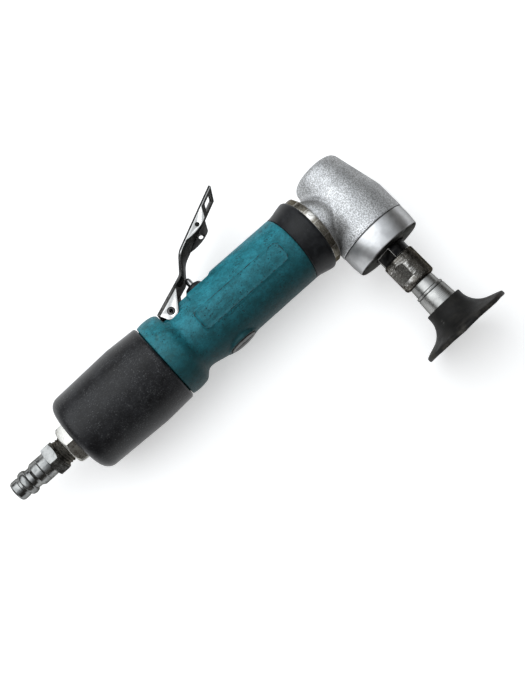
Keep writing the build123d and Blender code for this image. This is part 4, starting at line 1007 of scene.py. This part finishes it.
def turned_metal(name, dull, bright, roughness):
    """Metal from the lathe: fine rings round the spindle's axis, clouded by handling."""
    finish = new_finish(name, 1.0, roughness, Specular_Tint=(0.25, 0.25, 0.24, 1))
    clouds = noise(finish, 6 * mm, detail=6.0, rough=0.6)
    inputs = {"X": from_spindle(finish), "Y": towards(finish, up_spindle), "Z": towards(finish, along_motor * 0.03)}
    unrolled = node(finish.node_tree, "CombineXYZ", inputs)
    rings = noise(finish, 0.22 * mm, detail=3.0, where=unrolled)
    sheen = (rings, roughness - 0.06, roughness + 0.1)
    lay(finish, dull, (graded(clouds, 0.35, 0.68), bright), sheen=sheen, relief=bumped(rings, 0.005 * mm))
    return finish


cup_metal = turned_metal("turned_aluminium", (0.53, 0.535, 0.545), (0.66, 0.665, 0.675), 0.36)
height = towards(cup_metal, up_spindle)
oil = noise(cup_metal, 5 * mm, detail=6.0, rough=0.65)
seam_dirt = graded(height, cup_joint - 0.7 * mm, cup_joint - 0.3 * mm, 0.0, 0.9)
# Painted shade: the underside and bottom edge are darkened nearly to black, faintly varied by the oil pattern; the
# seam's dark line is a dark joint.
rim_painted_shade = graded(height, cup_face + 0.8 * mm, cup_face + 0.3 * mm, 0.0, 0.95)
rim_painted_shade = merged(rim_painted_shade, graded(oil, 0.36, 0.6, 0.84, 1.0))
recoat(cup_metal, (merged(seam_dirt, rim_painted_shade, by="MAXIMUM"), (0.024, 0.023, 0.021)))
fit(cup, cup_metal, "turned_aluminium", "housing", "bearing_cap")

# Spindle: stepped shaft from the gear down to the collet, with two wrench flats below the cap.
# Hardened steel with a black oxide skin, worn bright along the edges of the flats.
flats_direction = Vector((-0.8090, 0, 0.5878))


def wrench_flats(piece, low, high, across_flats):
    """Mill two flats on a piece of the spindle."""
    mill = 20 * mm
    for side in (-1, 1):
        middle = flats_direction * side * (across_flats + mill) / 2 + up_spindle * (low + high) / 2
        turn = atan2(-flats_direction.z, flats_direction.x)
        cut(piece, block(middle, (mill, high - low, mill), turn))


shaft_low, shaft_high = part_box("spindle")
nut_low, nut_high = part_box("collet_nut")
shaft_end_radius = 7.9 * mm
shaft_thread = 6.15 * mm
shaft_step_y = cup_face + 2.7 * mm
shaft_radius = 5.0 * mm
journal = 6.96 * mm
journal_y = shaft_step_y + 8.3 * mm
upper_journal = 3.96 * mm
upper_y = shaft_high.y - 7 * mm
collet_bore = 4.5 * mm
collet_top = shaft_low.y + 19 * mm
spindle_flats = 13.0 * mm
flat_height = 5.6 * mm
flat_overrun = 0.01 * mm
shaft = turned("spindle_shaft", spindle_line, [
    (shaft_low.y, collet_bore), (shaft_low.y, shaft_thread), (nut_high.y, shaft_thread),
    (nut_high.y, shaft_end_radius), (shaft_step_y, shaft_end_radius), (shaft_step_y, journal), (journal_y, journal),
    (journal_y, shaft_radius), (upper_y, shaft_radius), (upper_y, upper_journal), (shaft_high.y, upper_journal),
    (shaft_high.y, pip), (collet_top, pip), (collet_top, collet_bore), (shaft_low.y, collet_bore),
], sides=96)
wrench_flats(shaft, nut_high.y - flat_overrun, nut_high.y + flat_height, spindle_flats)
black_oxide = new_finish("black_oxide", 1.0, 0.4)
clouds = noise(black_oxide, 2.5 * mm, detail=6.0)
lay(
    black_oxide, (0.01, 0.01, 0.011), (graded(clouds, 0.38, 0.7), (0.035, 0.034, 0.033)),
    sheen=(clouds, 0.3, 0.48), relief=bumped(clouds, 0.03 * mm),
)
fit(shaft, black_oxide, "black_steel", "spindle", "spindle")
bevelled(shaft, 0.2 * mm, angle=25, edge=worn_edge)

# Collet: slit sleeve inside the nut that grips the pad's shank.
# Bright spring steel, out of sight when the nut is on.
dress(bearing_steel, "collet")

# Collet nut: cap that squeezes the collet, with rounded ends and two milled flats.
# Browned steel, scuffed all over and rubbed bright round the flats by wrenches.
nut_radius = 8.68 * mm
nut_hole = 3.4 * mm
nut_thread = 6.2 * mm
nut_floor = nut_low.y + 3.4 * mm
nut_flats = 14.4 * mm
nut_flat_half = 4.0 * mm
nut_middle = (nut_low.y + nut_high.y) / 2
nut = turned("collet_nut_cap", spindle_line, [
    (nut_low.y, nut_hole), (nut_low.y, nut_radius, 1.6 * mm), (nut_high.y, nut_radius, 0.8 * mm),
    (nut_high.y, nut_thread), (nut_floor, nut_thread), (nut_floor, nut_hole), (nut_low.y, nut_hole),
])
wrench_flats(nut, nut_middle - nut_flat_half, nut_middle + nut_flat_half, nut_flats)
nut_steel = browned("nut_steel", (0.036, 0.033, 0.028), (0.115, 0.105, 0.092), (0.27, 0.258, 0.238), 0.32)
from_middle = away_from(towards(nut_steel, up_spindle), nut_middle)
sideways = away_from(towards(nut_steel, flats_direction), 0.0)
rings = noise(nut_steel, 0.6 * mm, detail=5.0, rough=0.75, where=placed(nut_steel, (0.16, 1, 0.16)))
on_flat = merged(
    graded(from_middle, nut_flat_half + 0.05 * mm, nut_flat_half - 0.1 * mm),
    graded(sideways, nut_flats / 2 - 0.15 * mm, nut_flats / 2 - 0.05 * mm),
)
beside = merged(
    graded(sideways, 5.2 * mm, 6.6 * mm),
    graded(from_middle, nut_flat_half + 2.6 * mm, nut_flat_half + 1.6 * mm),
    graded(rings, 0.47, 0.55),
    graded(noise(nut_steel, 2.2 * mm), 0.42, 0.56, 0.2, 1.0),
)
beside = merged(beside, merged(beside, on_flat), by="SUBTRACT")
scuffs = graded(noise(nut_steel, 0.8 * mm, detail=5.0, rough=0.8), 0.54, 0.64)
scuffs = merged(scuffs, graded(sideways, 2 * mm, 6.5 * mm, 0.25, 0.8))
recoat(
    nut_steel,
    (on_flat, graded(rings, 0.42, 0.58, 0.25, 0.9), (0.15, 0.146, 0.136)),
    (scuffs, (0.5, 0.49, 0.465)),
    (beside, 0.9, (0.68, 0.67, 0.65)),
)
fit(nut, nut_steel, "nut_steel", "spindle", "collet_nut")
bevelled(nut, 0.15 * mm, angle=25)

# Pad mandrel: shank, neck and hub that carry the rubber pad.
# Turned from bright steel, with a fine groove round the top of the hub.
hub_low, hub_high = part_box("pad_mandrel")
neck_top = nut_low.y
pad_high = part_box("rubber_pad")[1]
pad_top = pad_high.y
shank_radius = 3.175 * mm
neck_radius = 6.6 * mm
neck_flare = 0.25 * mm
hub_top = neck_top - 5.4 * mm
hub_step = 0.2 * mm
hub_radius = 7.7 * mm
hub_flare = 0.45 * mm
groove_y = hub_top - 1.5 * mm
groove_half = 0.25 * mm
groove_depth = 0.5 * mm
groove_edge = 0.06 * mm
stud_radius = 4.0 * mm
mandrel = turned("pad_mandrel_hub", spindle_line, [
    (hub_high.y, pip), (hub_high.y, shank_radius, 0.3 * mm), (neck_top, shank_radius),
    (neck_top, neck_radius, 0.3 * mm), (hub_top + hub_step, neck_radius + neck_flare, 0.3 * mm),
    (hub_top, hub_radius, 0.4 * mm), (groove_y + groove_half, hub_radius, groove_edge),
    (groove_y, hub_radius - groove_depth), (groove_y - groove_half, hub_radius, groove_edge),
    (pad_top, hub_radius + hub_flare), (pad_top, stud_radius), (hub_low.y, stud_radius), (hub_low.y, pip),
], steps=3)
smooth(mandrel)
bright_steel = turned_metal("bright_steel", (0.29, 0.29, 0.285), (0.41, 0.41, 0.4), 0.3)
fit(mandrel, bright_steel, "bright_steel", "spindle", "pad_mandrel")

# Rubber pad: flared boot that backs the disc, thinning to a soft, slightly wavy rim.
# Moulded black rubber on the mandrel's stud, dusty along its rim.
pad_radius = pad_high.x
pad_collar_radius = 10.1 * mm
pad_collar = 2.0 * mm
pad_flare = 10.8 * mm
pad_rim = 2.18 * mm
socket_outer = 8.0 * mm
socket_top = 8.5 * mm
flare_turn = radians(70)
flare_steps = 12
flare_arc = []
for k in range(flare_steps + 1):
    turn = flare_turn * k / flare_steps
    run = pad_top - pad_collar - pad_flare * sin(turn)
    flare_arc.append((run, pad_collar_radius + pad_flare - pad_flare * cos(turn)))
run_out = swell(flare_arc[-1], (pad_rim + 0.5 * mm, pad_radius - 1.2 * mm), (-2.7, -2.9), 6)
pad = turned("rubber_pad_boot", spindle_line, [
    (pad_top, stud_radius), (pad_top, pad_collar_radius, 0.6 * mm), *flare_arc, *run_out[1:],
    (pad_rim, pad_radius, 0.9 * mm), (0, pad_radius, 0.8 * mm), (0, socket_outer), (socket_top, socket_outer),
    (socket_top, stud_radius), (pad_top, stud_radius),
], sides=192, steps=4)
soft_rim = pad.vertex_groups.new(name="soft_rim")
for corner in pad.data.vertices:
    share = (hypot(corner.co.x, corner.co.z) - pad_radius / 2) / (pad_radius / 2)
    soft_rim.add([corner.index], max(share, 0) ** 2, "REPLACE")
roughened(pad, 13 * mm, 1.5 * mm, group="soft_rim", way="Y")
smooth(pad, 40)

pad_rubber = new_finish("pad_rubber", 0.0, 0.6, Specular_IOR_Level=0.2)
bloom = noise(pad_rubber, 6 * mm, detail=6.0, rough=0.65)
fine = noise(pad_rubber, 0.35 * mm, detail=3.0)
rim_dust = merged(graded(towards(pad_rubber, up_spindle), 5 * mm, 1 * mm), graded(bloom, 0.4, 0.65))
nick_place = (-8.9 * mm, 10 * mm, 6.6 * mm)
nick = graded(noise(pad_rubber, 0.7 * mm, detail=3.0), 0.5, 0.62)
nick = merged(near(pad_rubber, nick_place, 2.0 * mm), nick)
lay(
    pad_rubber, (0.007, 0.0068, 0.0065),
    (graded(bloom, 0.4, 0.72), (0.022, 0.021, 0.019)),
    (rim_dust, 0.45, (0.085, 0.078, 0.066)),
    (nick, 0.5, (0.11, 0.11, 0.107)),
    sheen=(bloom, 0.52, 0.75), relief=bumped(bloom, 0.15 * mm, bumped(fine, 0.04 * mm)),
)
fit(pad, pad_rubber, "pad_rubber", "spindle", "rubber_pad")

# Disc socket: insert that takes the threaded stud of a disc.
# Turned from brass and moulded into the face of the pad.
dress(turned_brass, "pad_socket")

# Studio: pale floor under the tool, one soft lamp on the lever's side, and surroundings that are bright overhead.
# The floor shows pale to the eye and in the metals, but sends little light back up.
# The camera stands nearly overhead, where the photograph was taken.
floor_size = 30.0
floor_gap = 0.05 * mm
bpy.ops.mesh.primitive_plane_add(size=floor_size, location=(-0.1, 0.08, cad_box[0].z - floor_gap))
floor = bpy.context.object
floor.name = "floor"
paper = bpy.data.materials.new("paper")
paper.use_nodes = True
sheet = paper.node_tree
sheet.nodes.clear()
seen = node(sheet, "LightPath", {}).node.outputs
shown = merged(seen["Is Camera Ray"], seen["Is Glossy Ray"], seen["Is Transmission Ray"], by="MAXIMUM")
pale = node(sheet, "BsdfDiffuse", {"Color": (0.86, 0.86, 0.86, 1)})
glow = node(sheet, "Emission", {"Color": (1, 1, 1, 1), "Strength": 0.45})
lifted = node(sheet, "AddShader", {0: pale, 1: glow})
quiet = node(sheet, "BsdfDiffuse", {"Color": (0.3, 0.3, 0.3, 1)})
both = node(sheet, "MixShader", {"Fac": shown, 1: quiet, 2: lifted})
sheet.links.new(both, sheet.nodes.new("ShaderNodeOutputMaterial").inputs["Surface"])
floor.data.materials.append(paper)

light_side = (-0.12, 0.3, 0.95)
world = bpy.data.worlds.new("studio")
bpy.context.scene.world = world
world.use_nodes = True
air = world.node_tree
direction = node(air, "TexCoord", {}, "Generated")
facing = node(air, "VectorMath", {0: direction, 1: light_side}, "Value", operation="DOT_PRODUCT")
tone = mixed(graded(facing, 0.4, 0.96), (0.085, 0.08, 0.072), (0.84, 0.87, 0.9))
sky = air.nodes["Background"]
sky.inputs["Strength"].default_value = 1.0
air.links.new(tone, sky.inputs["Color"])

tool_middle = Vector((-0.1, 0.07, 0))
lamp_place = tool_middle + Vector((-0.36, 0.46, 0.81)).normalized()
bpy.ops.object.light_add(type="AREA", location=lamp_place)
lamp = bpy.context.object
lamp.name = lamp.data.name = "soft_light"
lamp.data.shape = "RECTANGLE"
lamp.data.size = 1.4
lamp.data.size_y = 1.0
lamp.data.energy = 7.6
lamp.data.color = (0.96, 0.985, 1.0)
lamp.rotation_euler = (tool_middle - lamp_place).to_track_quat("-Z", "Y").to_euler()
lamp.visible_camera = False

camera_place = Vector((-120.27, 4.837, 354.126)) * mm
camera_right = Vector((0.73906, -0.67335, -0.01970))
camera_down = Vector((-0.66442, -0.72381, -0.18612))
camera_ahead = Vector((0.11106, 0.15065, -0.98232))
picture_height = 700
focal_pixels = 745.0
camera_data = bpy.data.cameras.new("camera")
camera = bpy.data.objects.new("camera", camera_data)
bpy.context.scene.collection.objects.link(camera)
camera.matrix_world = Matrix.LocRotScale(
    camera_place,
    Matrix((camera_right, -camera_down, -camera_ahead)).transposed().to_quaternion(),
    None,
)
camera_data.sensor_width = 36
camera_data.lens = camera_data.sensor_width * focal_pixels / picture_height
camera_data.clip_start = 0.01
camera_data.clip_end = 50
bpy.context.scene.camera = camera
bpy.context.scene.view_settings.view_transform = "Standard"
